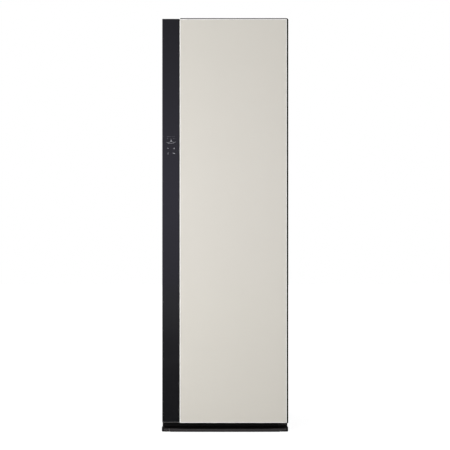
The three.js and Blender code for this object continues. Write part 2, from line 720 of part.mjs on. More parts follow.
function controlBox() {
  const width = 230;
  const height = 54;
  const backClear = 12;
  const frontClear = 29;
  const depth = cavityBackY - backClear - frameHalfY - frontClear;
  const ribHeight = 4;
  const ribCount = 5;
  const y = [cavityBackY - backClear - depth, cavityBackY - backClear];
  const ribs = evenly(ribCount, -width / 2 + ribHeight * 2, width / 2 - ribHeight * 2).map((x) =>
    block([x - ribHeight / 2, x + ribHeight / 2], [y[0] + ribHeight, y[1] - ribHeight],
      [deckZ + height / 2, deckZ + height + ribHeight]));
  return join(block([-width / 2, width / 2], y, [deckZ, deckZ + height]), ...ribs);
}

// Door hinges

const pivotInset = 16;
const pivotX = halfCabinet - pivotInset;
const pivotY = (coreFrontY + coreBackY) / 2;
const hingePinRadius = 5;
const hingePlate = 4;
const hingeArmHalf = 12;
const doorCapHeight = 40;
const doorTopInset = 0.7; // door body within the decor panel's ends
const doorBottomInset = 3;
const hingeNotchDepth = 23.3;
const hingeNotchWidth = 30;
const pinEngagement = 16;
const doorBodyZ = [doorBottomZ + doorBottomInset, overallHeight - doorTopInset];
const hingeNotchZ = doorBodyZ[1] - hingeNotchDepth;

// Plan outline of a hinge plate: an arm with a round end at the pivot and a wider root.
function hingePlan(rootHalf, rootFrontY, rootBackY) {
  const rootX = [pivotX + hingeArmHalf - 2 * rootHalf, pivotX + hingeArmHalf];
  const plan = new THREE.Shape();
  plan.absarc(pivotX, pivotY, hingeArmHalf, Math.PI, 2 * Math.PI);
  plan.lineTo(rootX[1], rootBackY);
  plan.lineTo(rootX[0], rootBackY);
  plan.lineTo(rootX[0], rootFrontY);
  plan.lineTo(pivotX - hingeArmHalf, rootFrontY);
  plan.closePath();
  return plan;
}

const topRootHalf = 32;
const topRootLength = 80;
const topRootBackY = shellFrontY + topRootLength;
function hingeBracketTop() {
  const boltRadius = 6;
  const boltSides = 6;
  const boltHead = 5;
  const boltInset = 14;
  const z = cabinetTopZ + gap;
  const rootX = [pivotX + hingeArmHalf - 2 * topRootHalf, pivotX + hingeArmHalf];
  const bolts = [
    [rootX[0] + boltInset, shellFrontY + boltInset], [rootX[1] - boltInset, shellFrontY + boltInset],
    [(rootX[0] + rootX[1]) / 2, topRootBackY - boltInset],
  ].map(([x, y]) => rod('z', boltRadius, z + hingePlate / 2, z + hingePlate + boltHead, x, y, boltSides));
  return join(prism(hingePlan(topRootHalf, shellFrontY, topRootBackY), 'z', z, z + hingePlate), ...bolts,
    rod('z', hingePinRadius, hingeNotchZ - pinEngagement, z + hingePlate, pivotX, pivotY));
}

// Bottom hinge: an angle bracket on the plinth, its pin and the collar that the door turns on.
function hingeBracketBottom() {
  const collarRadius = 10;
  const plateDrop = 5;
  const plateTopZ = doorBottomZ - plateDrop;
  const legDrop = 14;
  const legFrontY = cabinetFrontY - gap - hingePlate;
  const rootHalf = 20;
  const x = [pivotX + hingeArmHalf - 2 * rootHalf, pivotX + hingeArmHalf];
  return join(
    prism(hingePlan(rootHalf, legFrontY, cabinetFrontY - gap), 'z', plateTopZ - hingePlate, plateTopZ),
    block(x, [legFrontY, cabinetFrontY - gap], [plateTopZ - legDrop, plateTopZ - hingePlate / 2]),
    rod('z', collarRadius, plateTopZ - hingePlate / 2, doorBodyZ[0] - gap, pivotX, pivotY),
    rod('z', hingePinRadius, plateTopZ - hingePlate / 2, doorBodyZ[0] + pinEngagement, pivotX, pivotY));
}

// Moulded cap over the top hinge.
function hingeCover() {
  const wall = 2;
  const sideClear = 2;
  const edgeRadius = 8;
  const topDrop = 3; // below the door's top
  const x = [pivotX + hingeArmHalf - 2 * topRootHalf - sideClear - wall, halfCabinet];
  const y = [cabinetFrontY + wall, topRootBackY + sideClear + wall];
  const z = [cabinetTopZ + gap, overallHeight - topDrop];
  const inside = block([x[0] + wall, x[1] - wall], [y[0] + wall, y[1] - wall], [z[0] - overrun, z[1] - wall]);
  const armWay = block([pivotX - hingeArmHalf - sideClear, x[1] - wall],
    [y[0] - overrun, y[0] + wall + overrun], [z[0] - overrun, z[0] + hingePlate + sideClear]);
  return cut(prism(roundedRect(x, y, [0, 0, 0, edgeRadius]), 'z', z[0], z[1]), inside, armWay);
}

// Door body

const channelDepth = 24; // finger channel down the door's free edge
const channelFront = 8;
const channelBack = 8;
const sideProfileWidth = 28;
const hingeProfileWidth = 20;
const coreZ = [doorBodyZ[0] + doorCapHeight + gap, doorBodyZ[1] - doorCapHeight - gap];
const capsInnerZ = [coreZ[0] - gap, coreZ[1] + gap];

// The free-edge extrusion, with a full-height finger channel opening sideways.
function doorSideLeft() {
  const lipRadius = 3;
  const x0 = -halfCabinet;
  const channelY = [coreFrontY + channelFront, coreBackY - channelBack];
  const section = new THREE.Shape();
  section.moveTo(x0 + sideProfileWidth, coreFrontY);
  section.lineTo(x0 + sideProfileWidth, coreBackY);
  section.lineTo(x0 + lipRadius, coreBackY);
  section.absarc(x0 + lipRadius, coreBackY - lipRadius, lipRadius, Math.PI / 2, Math.PI);
  section.lineTo(x0, channelY[1] + lipRadius);
  section.absarc(x0 + lipRadius, channelY[1] + lipRadius, lipRadius, Math.PI, 1.5 * Math.PI);
  section.lineTo(x0 + channelDepth - lipRadius, channelY[1]);
  section.absarc(x0 + channelDepth - lipRadius, channelY[1] - lipRadius, lipRadius, Math.PI / 2, 0, true);
  section.lineTo(x0 + channelDepth, channelY[0] + lipRadius);
  section.absarc(x0 + channelDepth - lipRadius, channelY[0] + lipRadius, lipRadius, 0, -Math.PI / 2, true);
  section.lineTo(x0 + lipRadius, channelY[0]);
  section.absarc(x0 + lipRadius, channelY[0] - lipRadius, lipRadius, Math.PI / 2, Math.PI);
  section.lineTo(x0, coreFrontY);
  section.closePath();
  return prism(section, 'z', coreZ[0], coreZ[1]);
}

// The hinge-side extrusion, a hollow box section with rounded outer edges.
function doorSideRight() {
  const wall = 2.5;
  const edgeRadius = 6;
  const x = [halfCabinet - hingeProfileWidth, halfCabinet];
  const section = roundedRect(x, [coreFrontY, coreBackY], [0, 0, edgeRadius, 0]);
  section.holes.push(roundedRect([x[0] + wall, x[1] - wall], [coreFrontY + wall, coreBackY - wall], 0,
    THREE.Path));
  return prism(section, 'z', coreZ[0], coreZ[1]);
}

function doorCapTop() {
  const edgeRadius = 6;
  const notch = block([pivotX - hingeNotchWidth, halfCabinet + overrun],
    [coreFrontY - overrun, coreBackY + overrun], [hingeNotchZ, doorBodyZ[1] + overrun]);
  const hole = rod('z', hingePinRadius + gap, hingeNotchZ - pinEngagement - overrun, hingeNotchZ + overrun,
    pivotX, pivotY);
  return cut(prism(roundedRect([-halfCabinet, halfCabinet], [coreFrontY, coreBackY], [0, 0, edgeRadius, 0]),
    'z', capsInnerZ[1], doorBodyZ[1]), notch, hole);
}

function doorCapBottom() {
  const edgeRadius = 6;
  const hole = rod('z', hingePinRadius + gap, doorBodyZ[0] - overrun, doorBodyZ[0] + pinEngagement + overrun,
    pivotX, pivotY);
  return cut(prism(roundedRect([-halfCabinet, halfCabinet], [coreFrontY, coreBackY], [0, 0, edgeRadius, 0]),
    'z', doorBodyZ[0], capsInnerZ[0]), hole);
}

// Control electronics behind the strip
const stripWidth = 81;
const decorLeftX = -halfCabinet + stripWidth;
const boardDrop = 540; // from the top of the door
const boardHeight = 120;
const boardZ = [overallHeight - boardDrop - boardHeight, overallHeight - boardDrop];
const boardPocketDepth = 12;
const boardMargin = 3;
const coreX = [-halfCabinet + sideProfileWidth + gap, halfCabinet - hingeProfileWidth - gap];

// Framed panel that stands proud on the hinge side, and its glass
const decorX = [decorLeftX, baseWidth / 2];
const decorZ = [doorBottomZ, overallHeight];
const decorRim = { left: 1.5, right: 6.4, top: 2.7, bottom: 0.6 };
const decorRadius = 10;
const decorWeb = 1.5;
const decorWall = 8; // rim of the tray behind the glass
const glassThickness = 4;
const glassSet = 0.5; // the glass lies this far behind the rim
const glassX = [decorX[0] + decorRim.left, decorX[1] - decorRim.right];
const glassZ = [decorZ[0] + decorRim.bottom, decorZ[1] - decorRim.top];
const trayX = [decorX[0] + decorWall, decorX[1] - decorWall - hingeProfileWidth];
const trayZ = [coreZ[0] + decorWall, coreZ[1] - decorWall];
const trayFrontY = decorFrontY + glassSet + glassThickness + gap + decorWeb;
const boardX = [coreX[0] + boardMargin, decorLeftX - decorWall];

// The extruded frame: a pocket for the glass in front and a tray behind its thin web.
function decorFrame() {
  const pocket = block(glassX, [decorFrontY - overrun, trayFrontY - decorWeb], glassZ);
  const tray = block(trayX, [trayFrontY, decorBackY + overrun], trayZ);
  return cut(prism(roundedRect(decorX, decorZ, decorRadius), 'y', decorFrontY, decorBackY), pocket, tray);
}

function decorGlass() {
  const y = decorFrontY + glassSet;
  return block([glassX[0] + gap, glassX[1] - gap], [y, y + glassThickness],
    [glassZ[0] + gap, glassZ[1] - gap]);
}

// Foam core of the door: it fills the tray of the framed panel and has a pocket for the board.
function doorCore() {
  const pocket = block([boardX[0] - gap, boardX[1] + gap],
    [coreFrontY - overrun, coreFrontY + boardPocketDepth], [boardZ[0] - gap, boardZ[1] + gap]);
  const field = block([trayX[0] + gap, trayX[1] - gap], [trayFrontY + gap, coreBackY],
    [trayZ[0] + gap, trayZ[1] - gap]);
  return cut(join(block(coreX, [coreFrontY, coreBackY], coreZ), field), pocket);
}

function controlBoard() {
  const boardThickness = 1.6;
  const chipHeight = 4;
  const chipSize = 12;
  const chipCount = 3;
  const backY = coreFrontY + boardPocketDepth - gap;
  const frontY = backY - chipHeight - boardThickness;
  const middle = (boardX[0] + boardX[1]) / 2;
  const chips = evenly(chipCount, boardZ[0] + chipSize, boardZ[1] - chipSize).map((z) =>
    block([middle - chipSize / 2, middle + chipSize / 2], [frontY + boardThickness / 2, backY],
      [z - chipSize / 2, z + chipSize / 2]));
  return join(block(boardX, [frontY, frontY + boardThickness], boardZ), ...chips);
}

// The recessed smoked-glass strip with the touch controls.
function controlStrip() {
  const thickness = 3;
  const edgeGap = 1;
  const cornerRadius = 3;
  const face = roundedRect([-halfCabinet, decorLeftX - edgeGap], doorBodyZ,
    [cornerRadius, 0, 0, cornerRadius]);
  return prism(face, 'y', decorBackY - thickness, decorBackY);
}

// Inner door panel
function doorLiner() {
  const sideInset = 6;
  const endInset = 6;
  const half = halfCabinet - sideInset;
  return block([-half, half], [coreBackY + gap, doorLinerBackY],
    [doorBodyZ[0] + endInset, doorBodyZ[1] - endInset - hingeNotchDepth]);
}

// The raised ring on the inner panel, which reaches into the cavity's mouth.
function doorWallRing() {
  const reach = 12;
  const clear = 17;
  const width = 14;
  const radius = 12;
  const x = cavityHalf - clear;
  const z = [cavityFloorZ + clear, ceilingZ - clear];
  return ring([-x, x], z, radius, [-x + width, x - width], [z[0] + width, z[1] - width], 0,
    doorLinerBackY + gap, doorLinerBackY + reach);
}

// The press's sizes, and the rail that the hem clip slides on
const hemRailWidth = 20;
const hemRailReach = 8;
const pressSideSpace = 83; // beside the press, on its free side
const pressHingeSpace = 115;
const pressLift = 260;
const pressDrop = 150;
const pressX = [-cavityHalf + pressSideSpace, cavityHalf - pressHingeSpace];
const pressZ = [cavityFloorZ + pressLift, ceilingZ - pressDrop];
const hemRailLift = 40;
const hemRailDrop = 25; // from the press down to the rail's top
const hemRailZ = [cavityFloorZ + hemRailLift, pressZ[0] - hemRailDrop];
// Magnetic gasket: a narrow foot ring and a wider sealing bulb.
function doorGasket() {
  const margin = 6;
  const width = 16;
  const footInset = 4;
  const footShare = 0.4;
  const cornerRadius = 8;
  const frontY = doorLinerBackY + gap;
  const y = [frontY, frontY + gasketDepth * footShare, frontY + gasketDepth];
  const innerX = cavityHalf + margin;
  const innerZ = [bayFloorZ - margin, ceilingZ + margin];
  const band = (inset, y0, y1) => ring(
    [-innerX - width + inset, innerX + width - inset], [innerZ[0] - width + inset, innerZ[1] + width - inset],
    cornerRadius, [-innerX - inset, innerX + inset], [innerZ[0] - inset, innerZ[1] + inset],
    cornerRadius / 2, y0, y1);
  return join(band(footInset, y[0], y[1]), band(0, y[1], y[2]));
}

// Trouser press on the door: board, hinged cover, hook and hem clip

const boardThick = 12;
const pressGap = 3;
const coverThick = 14;
const pressBoardY = [doorLinerBackY + gap, doorLinerBackY + gap + boardThick];
const coverY = [pressBoardY[1] + pressGap, pressBoardY[1] + pressGap + coverThick];
const pressAxisReach = 10;
const pressAxisX = pressX[1] + pressAxisReach;
const pressAxisY = (coverY[0] + coverY[1]) / 2;
const knuckleRadius = 6.5;
const knucklePlay = 0.6; // between the cover's edge and the lugs
const knuckleLength = 60;
const pressRodRadius = 3;
const knuckleMargin = 100;
const knuckleZ = evenly(3, pressZ[0] + knuckleMargin, pressZ[1] - knuckleMargin);
const hookLift = 24;
const hookPivotZ = pressZ[1] + hookLift;
const hookTab = 4;
const hookEyeRadius = 6;
const hookEyeClear = 1;
const hookPivotY = pressBoardY[0] + hookTab + hookEyeRadius + hookEyeClear;
const hookWidth = 30;
const hookPinRadius = 3;
const hookLug = 8;

// The fixed board, with hinge lugs on its right edge, crease ridges, the hook's two lugs and
// the hem clip's rail below.
function pressBoard() {
  const cornerRadius = 14;
  const lugReach = 6;
  const ridgeHeight = 1.2;
  const ridgeWidth = 4;
  const ridgeX = 70;
  const ridgeMargin = 60;
  const tabHalf = hookWidth / 2 + gap + hookLug;
  const lugHeight = 18;
  const board = prism(roundedRect(pressX, pressZ, cornerRadius), 'y', pressBoardY[0], pressBoardY[1]);
  const lugs = knuckleZ.flatMap((z) => [-1, 1].map((way) => {
    const near = z + way * (knuckleLength / 2 + gap);
    const far = near + way * knuckleLength / 3;
    const lugZ = [Math.min(near, far), Math.max(near, far)];
    return join(rod('z', knuckleRadius, ...lugZ, pressAxisX, pressAxisY, smallSegments),
      block([pressAxisX - knuckleRadius, pressAxisX + knuckleRadius], [pressBoardY[0], pressAxisY], lugZ),
      block([pressX[1] - lugReach, pressAxisX], pressBoardY, lugZ));
  }));
  const ridges = [-ridgeX, ridgeX].map((offset) => {
    const x = (pressX[0] + pressX[1]) / 2 + offset;
    return block([x - ridgeWidth / 2, x + ridgeWidth / 2],
      [pressBoardY[1] - ridgeHeight, pressBoardY[1] + ridgeHeight],
      [pressZ[0] + ridgeMargin, pressZ[1] - ridgeMargin]);
  });
  const tab = block([-tabHalf, tabHalf], [pressBoardY[0], pressBoardY[0] + hookTab],
    [pressZ[1] - hookTab, hookPivotZ + lugHeight / 2]);
  const hookLugs = [-1, 1].map((side) => {
    const x = [side * (hookWidth / 2 + gap), side * tabHalf].sort((a, b) => a - b);
    return block(x, [pressBoardY[0], hookPivotY + lugHeight / 2],
      [hookPivotZ - lugHeight / 2, hookPivotZ + lugHeight / 2]);
  });
  const rail = block([-hemRailWidth / 2, hemRailWidth / 2], [pressBoardY[0], doorLinerBackY + hemRailReach],
    [hemRailZ[0], pressZ[0] + cornerRadius]);
  const rodHole = rod('z', pressRodRadius + gap, pressZ[0] - overrun, pressZ[1] + overrun,
    pressAxisX, pressAxisY, smallSegments);
  const hookHole = rod('x', hookPinRadius + gap, -tabHalf - overrun, tabHalf + overrun,
    hookPivotY, hookPivotZ, smallSegments);
  return cut(join(board, ...lugs, ...ridges, tab, ...hookLugs, rail), rodHole, hookHole);
}

// The cover, about the hinge axis: a ribbed plate with a pull lip, and three knuckles whose
// rod turns in the board's lugs.
function pressCover() {
  const cornerRadius = 14;
  const ribCount = 6;
  const ribHeight = 3;
  const ribWidth = 7;
  const ribMargin = 26;
  const pullReach = 12;
  const pullLength = 90;
  const plateX = [pressX[0] - pressAxisX, -knuckleRadius - knucklePlay];
  const y = [coverY[0] - pressAxisY, coverY[1] - pressAxisY];
  const plate = prism(roundedRect(plateX, pressZ, [cornerRadius, 0, 0, cornerRadius]), 'y', y[0], y[1]);
  const ribs = evenly(ribCount, plateX[0] + ribMargin, plateX[1] - ribMargin).map((x) =>
    block([x - ribWidth / 2, x + ribWidth / 2], [y[1] - ribHeight, y[1] + ribHeight],
      [pressZ[0] + ribMargin, pressZ[1] - ribMargin]));
  const knuckles = knuckleZ.map((z) => join(
    rod('z', knuckleRadius, z - knuckleLength / 2, z + knuckleLength / 2, 0, 0, smallSegments),
    block([plateX[1] - knuckleRadius / 2, 0], [-knuckleRadius / 2, knuckleRadius / 2],
      [z - knuckleLength / 2, z + knuckleLength / 2])));
  const middle = (pressZ[0] + pressZ[1]) / 2;
  const pull = prism(roundedRect([plateX[0] - pullReach, plateX[0] + cornerRadius],
    [middle - pullLength / 2, middle + pullLength / 2], pullReach / 2), 'y', y[0] + coverThick / 3, y[1]);
  const rodReach = knuckleLength / 2 + knuckleLength / 3;
  const hingeRod = rod('z', pressRodRadius, knuckleZ[0] - rodReach, knuckleZ[2] + rodReach, 0, 0,
    smallSegments);
  return join(plate, ...ribs, ...knuckles, pull, hingeRod);
}

// The fold-out trouser hook, about its pin: stowed upright, it swings down to stand out.
function trouserHook() {
  const length = 66;
  const thickness = 6;
  const tipReach = 7;
  const tipHeight = 8;
  const half = hookWidth / 2;
  const pinEnd = half + gap + hookLug;
  const profile = new THREE.Shape();
  profile.moveTo(-thickness / 2, 0);
  profile.lineTo(thickness / 2, 0);
  profile.lineTo(thickness / 2, length);
  profile.lineTo(-thickness / 2 - tipReach, length);
  profile.lineTo(-thickness / 2 - tipReach, length - tipHeight);
  profile.lineTo(-thickness / 2, length - tipHeight);
  profile.closePath();
  return join(prism(profile, 'x', -half, half), rod('x', hookEyeRadius, -half, half, 0, 0),
    rod('x', hookPinRadius, -pinEnd, pinEnd, 0, 0, smallSegments));
}

// The hem clip: a slider that wraps the rail, with a clip jaw in front.
const hemClipHeight = 34;
const hemClipLift = 50;
const hemClipZ = hemRailZ[0] + hemClipLift;
function hemClip() {
  const wall = 7;
  const jawHalf = 46;
  const jawHeight = 12;
  const jawDepth = 6;
  const play = 0.4;
  const x = hemRailWidth / 2 + play;
  const railY = doorLinerBackY + hemRailReach;
  const y = [doorLinerBackY + gap, railY + play, railY + wall];
  const z = [hemClipZ, hemClipZ + hemClipHeight];
  const body = block([-x - wall, x + wall], [y[0], y[2]], z);
  const jawZ = (z[0] + z[1]) / 2;
  const jawShape = roundedRect([-jawHalf, jawHalf], [jawZ - jawHeight / 2, jawZ + jawHeight / 2],
    jawHeight / 2 - gap);
  const jaw = prism(jawShape, 'y', y[2] - gap, y[2] + jawDepth);
  const channel = block([-x, x], [y[0] - overrun, y[1]], [z[0] - overrun, z[1] + overrun]);
  return cut(join(body, jaw), channel);
}

// Machine space

const ductSideSpace = 7;
const ductWidthShare = 0.53333; // of the cavity's width
const ductX = [-cavityHalf + ductSideSpace, -cavityHalf + ductSideSpace + 2 * cavityHalf * ductWidthShare];
const ductFrontSpace = 75; // behind the steam pipe
const ductBackSpace = 10.5;
const ductY = [nozzleY + ductFrontSpace, shellBackY - ductBackSpace];
const ductDepth = ductY[1] - ductY[0];
const ductDeckZ = 206;
const ductPlate = 6;

// The tray on legs that carries the heat exchangers and the blower.
function ductTray() {
  const legSize = 14;
  const lipHeight = 10;
  const lipWall = 3;
  const legs = ductX.flatMap((x) => ductY.map((y) => {
    const inwardX = x === ductX[0] ? [x, x + legSize] : [x - legSize, x];
    const inwardY = y === ductY[0] ? [y, y + legSize] : [y - legSize, y];
    return block(inwardX, inwardY, [machineFloorZ, ductDeckZ - ductPlate / 2]);
  }));
  const rim = cut(block(ductX, ductY, [ductDeckZ - ductPlate, ductDeckZ + lipHeight]),
    block([ductX[0] + lipWall, ductX[1] - lipWall], [ductY[0] + lipWall, ductY[1] - lipWall],
      [ductDeckZ, ductDeckZ + lipHeight + overrun]));
  return join(rim, ...legs);
}

// A finned coil about its own origin, at the middle of its foot: fins, core and return bends.
const coilWidthShare = 0.16912; // of the tray's width
const coilWidth = (ductX[1] - ductX[0]) * coilWidthShare;
const coilHeight = 200;
const coilMargin = 22;
function finnedCoil() {
  const finCount = 12;
  const finThickness = 1.6;
  const finReach = 4;
  const bendCount = 3;
  const bendRadius = 12;
  const tubeRadius = 4;
  const half = ductDepth / 2 - coilMargin;
  const coreHalf = coilWidth / 2 - finReach;
  const core = block([-coreHalf, coreHalf], [-half, half], [0, coilHeight]);
  const fins = evenly(finCount, -half + finThickness, half - finThickness).map((y) =>
    block([-coilWidth / 2, coilWidth / 2], [y - finThickness / 2, y + finThickness / 2], [0, coilHeight]));
  const bendMargin = coilHeight / bendCount / 2;
  const bends = evenly(bendCount, bendMargin, coilHeight - bendMargin).map((z) =>
    rod('z', tubeRadius + bendRadius, z - tubeRadius, z + tubeRadius, 0, half, smallSegments));
  return join(core, ...fins, ...bends);
}
const coilEndSpace = 12;
const coilSpacing = 10;
const evaporatorX = ductX[1] - coilWidth / 2 - coilEndSpace;
const condenserX = evaporatorX - coilWidth - coilSpacing;
const coilY = (ductY[0] + ductY[1]) / 2;
const coilZ = ductDeckZ + gap;

// Blower: a spiral housing whose outlet rises to the cavity floor, and its wheel
const wheelRadiusShare = 0.27642; // of the tray's depth
const wheelRadius = ductDepth * wheelRadiusShare;
const wheelWidth = 64;
const blowerWall = 3;
const blowerClear = 6;
const blowerEndSpace = 34;
const blowerFrontShare = 0.36585; // of the tray's depth
const blowerHousing = wheelWidth + 2 * (blowerWall + blowerClear);
const blowerX = [ductX[0] + blowerEndSpace, ductX[0] + blowerEndSpace + blowerHousing];
const scrollClear = 8;
const scrollStart = wheelRadius + scrollClear;
const scrollGrowthShare = 0.38235; // how much the spiral grows in a turn, of the wheel's radius
const scrollGrowth = wheelRadius * scrollGrowthShare;
const scrollShare = { bottom: 0.5, back: 0.75 }; // turns at which the spiral faces down and back
const blowerY = ductY[0] + ductDepth * blowerFrontShare;
const blowerZ = ductDeckZ + gap + blowerWall + scrollStart + scrollGrowth * scrollShare.bottom;
const blowerReach = scrollStart + scrollGrowth * scrollShare.back;
const blowerShaftRadius = 6;
const blowerOutletZ = cavityFloorZ - linerWall - gap;

function scrollSolid(margin, x0, x1) {
  const steps = 36;
  const points = [];
  for (let i = 0; i <= steps; i += 1) {
    const turn = i / steps;
    const radius = scrollStart + scrollGrowth * turn + margin;
    // Starts straight up and winds round the front, under the wheel and up the back.
    const angle = Math.PI / 2 + 2 * Math.PI * turn;
    points.push([radius * Math.cos(angle), radius * Math.sin(angle)]);
  }
  return prism(polygon(points), 'x', x0, x1);
}

// The housing, about the wheel's centre in y and z.
const blowerMotorLength = 26;
function fanHousing() {
  const inletLip = 14;
  const inletRadius = wheelRadius - inletLip;
  const motorRadius = 28;
  const motorWall = 4;
  const top = blowerOutletZ - blowerZ;
  const duct = [0, blowerReach];
  const [x0, x1] = blowerX;
  const outer = join(scrollSolid(blowerWall, x0, x1),
    block([x0, x1], [duct[0] - blowerWall, duct[1] + blowerWall], [0, top]),
    rod('x', motorRadius, x0 - blowerMotorLength, x0 + blowerWall / 2, 0, 0));
  const inner = join(scrollSolid(0, x0 + blowerWall, x1 - blowerWall),
    block([x0 + blowerWall, x1 - blowerWall], duct, [0, top + overrun]),
    rod('x', inletRadius, x1 - blowerWall * 2, x1 + overrun, 0, 0),
    rod('x', blowerShaftRadius + gap, x0 - blowerMotorLength + motorWall, x0 + blowerWall * 2, 0, 0));
  return cut(outer, inner);
}

// The centrifugal wheel about its own centre: back plate, hub, blades and front ring.
function fanWheel() {
  const bladeCount = 16;
  const bladeThickness = 2;
  const bladeDepth = 17;
  const bladeLean = 0.6;
  const hubRadius = 14;
  const plate = 3;
  const ringDepth = 6;
  const half = wheelWidth / 2;
  const bladeRadius = wheelRadius - bladeDepth / 2 - plate / 2;
  const shaftShare = 0.7; // of the motor's length
  const shaftReach = blowerClear + blowerWall + blowerMotorLength * shaftShare;
  const back = rod('x', wheelRadius, -half, -half + plate, 0, 0, fineSegments);
  const hub = rod('x', hubRadius, -half, -half + wheelWidth / 2, 0, 0);
  const shaft = rod('x', blowerShaftRadius, -half - shaftReach, -half + plate, 0, 0);
  const ringOuter = rod('x', wheelRadius, half - ringDepth, half, 0, 0, fineSegments);
  const ringInner = rod('x', wheelRadius - bladeDepth, half - ringDepth - overrun, half + overrun, 0, 0);
  const blades = Array.from({ length: bladeCount }, (_, i) => {
    const blade = new THREE.BoxGeometry(wheelWidth - plate, bladeDepth, bladeThickness);
    blade.rotateX(bladeLean).translate(plate / 2, bladeRadius, 0);
    return blade.rotateX((2 * Math.PI * i) / bladeCount);
  });
  return join(back, hub, shaft, cut(ringOuter, ringInner), ...blades);
}

// Rotary compressor about its own axis, standing on a tripod foot with rubber grommets.
function compressor() {
  const bodyRadius = 58;
  const neckRadius = 34;
  const footTopZ = 24;
  const footPlate = 4;
  const footCount = 3;
  const bodyHeight = 210;
  const domeHeight = 22;
  const tubeRadius = 6;
  const tubeHeight = 26;
  const footReach = 74;
  const grommetRadius = 12;
  const accumulatorRadius = 22;
  const accumulatorHeight = 130;
  const profile = [
    [0, footTopZ], [neckRadius, footTopZ], [bodyRadius, footTopZ + domeHeight],
    [bodyRadius, footTopZ + bodyHeight - domeHeight], [neckRadius, footTopZ + bodyHeight],
    [0, footTopZ + bodyHeight],
  ].map(([r, z]) => new THREE.Vector2(r, z));
  const body = new THREE.LatheGeometry(profile, roundSegments).rotateX(Math.PI / 2);
  const feet = Array.from({ length: footCount }, (_, i) => (2 * Math.PI * i) / footCount).map((angle) => {
    const x = footReach * Math.cos(angle);
    const y = footReach * Math.sin(angle);
    const arm = new THREE.BoxGeometry(footReach, grommetRadius * 2, footPlate)
      .translate(footReach / 2, 0, 0).rotateZ(angle).translate(0, 0, footTopZ + footPlate / 2);
    return join(arm, rod('z', grommetRadius, 0, footTopZ + footPlate / 2, x, y, smallSegments));
  });
  const seat = 3; // how far the accumulator and the tube reach into the body
  const accumulatorAngle = (2 * Math.PI) / 3;
  const accumulatorReach = bodyRadius + accumulatorRadius - seat;
  const topZ = footTopZ + bodyHeight;
  const shoulderZ = footTopZ + domeHeight;
  const accumulator = rod('z', accumulatorRadius, shoulderZ, shoulderZ + accumulatorHeight,
    accumulatorReach * Math.cos(accumulatorAngle), accumulatorReach * Math.sin(accumulatorAngle),
    plainSegments);
  return join(body, ...feet, accumulator,
    rod('z', tubeRadius, topZ - seat, topZ + tubeHeight, 0, 0, smallSegments));
}
const compressorSideSpace = 97;
const compressorBackSpace = 136.5;
const compressorX = cavityHalf - compressorSideSpace;
const compressorY = shellBackY - compressorBackSpace;

// Steam boiler with a flanged seam and three terminals.
const pipeRadius = 8;
function steamGenerator() {
  const cornerRadius = 12;
  const flangeHeight = 4;
  const flangeReach = 5;
  const terminalRadius = 5;
  const terminalHeight = 12;
  const z0 = machineFloorZ;
  const body = prism(roundedRect(boilerX, boilerY, cornerRadius), 'z', z0, z0 + boilerHeight);
  const seamShare = 0.6;
  const seamZ = z0 + boilerHeight * seamShare;
  const seam = prism(roundedRect([boilerX[0] - flangeReach, boilerX[1] + flangeReach],
    [boilerY[0] - flangeReach, boilerY[1] + flangeReach], cornerRadius), 'z', seamZ, seamZ + flangeHeight);
  const middleY = (boilerY[0] + boilerY[1]) / 2;
  const terminals = evenly(3, boilerX[0] + cornerRadius * 2, boilerX[1] - cornerRadius * 2).map((x) =>
    rod('z', terminalRadius, z0 + boilerHeight / 2, z0 + boilerHeight + terminalHeight, x, middleY,
      smallSegments));
  return join(body, seam, ...terminals);
}

// The steam pipe: out of the boiler's back, up behind the tank bay and through the cavity's
// floor to a low domed head with a cross-shaped steam slit.
function steamNozzle() {
  const bendRadius = 24;
  const headRadius = 24;
  const headHeight = 10;
  const slitWidth = 4;
  const slitDepth = 5;
  const pipeSteps = 12;
  const pipeSides = 8;
  const pipeZ = machineFloorZ + boilerHeight / 3;
  const neckZ = cavityFloorZ - linerWall * 2;
  const headZ = cavityFloorZ + gap;
  const corner = new THREE.Vector3(nozzleX, nozzleY, pipeZ);
  const before = corner.clone().setY(nozzleY - bendRadius);
  const after = corner.clone().setZ(pipeZ + bendRadius);
  const path = new THREE.CurvePath();
  path.add(new THREE.LineCurve3(corner.clone().setY(boilerY[1] + gap), before));
  path.add(new THREE.QuadraticBezierCurve3(before, corner, after));
  path.add(new THREE.LineCurve3(after, corner.clone().setZ(headZ)));
  const circle = new THREE.Shape().absarc(0, 0, pipeRadius, 0, 2 * Math.PI);
  const pipe = new THREE.ExtrudeGeometry(circle, {
    steps: pipeSteps, curveSegments: pipeSides, extrudePath: path,
  });
  const profile = [
    [0, neckZ], [nozzleRadius, neckZ], [nozzleRadius, headZ], [headRadius, headZ],
    [headRadius, headZ + headHeight / 3], [headRadius / 2, headZ + headHeight], [0, headZ + headHeight],
  ].map(([r, z]) => new THREE.Vector2(r, z));
  const head = new THREE.LatheGeometry(profile, plainSegments).rotateX(Math.PI / 2)
    .translate(nozzleX, nozzleY, 0);
  const top = headZ + headHeight;
  const slit = (halfX, halfY) => block([nozzleX - halfX, nozzleX + halfX], [nozzleY - halfY, nozzleY + halfY],
    [top - slitDepth, top + overrun]);
  return cut(join(pipe, head), slit(headRadius, slitWidth / 2), slit(slitWidth / 2, headRadius));
}

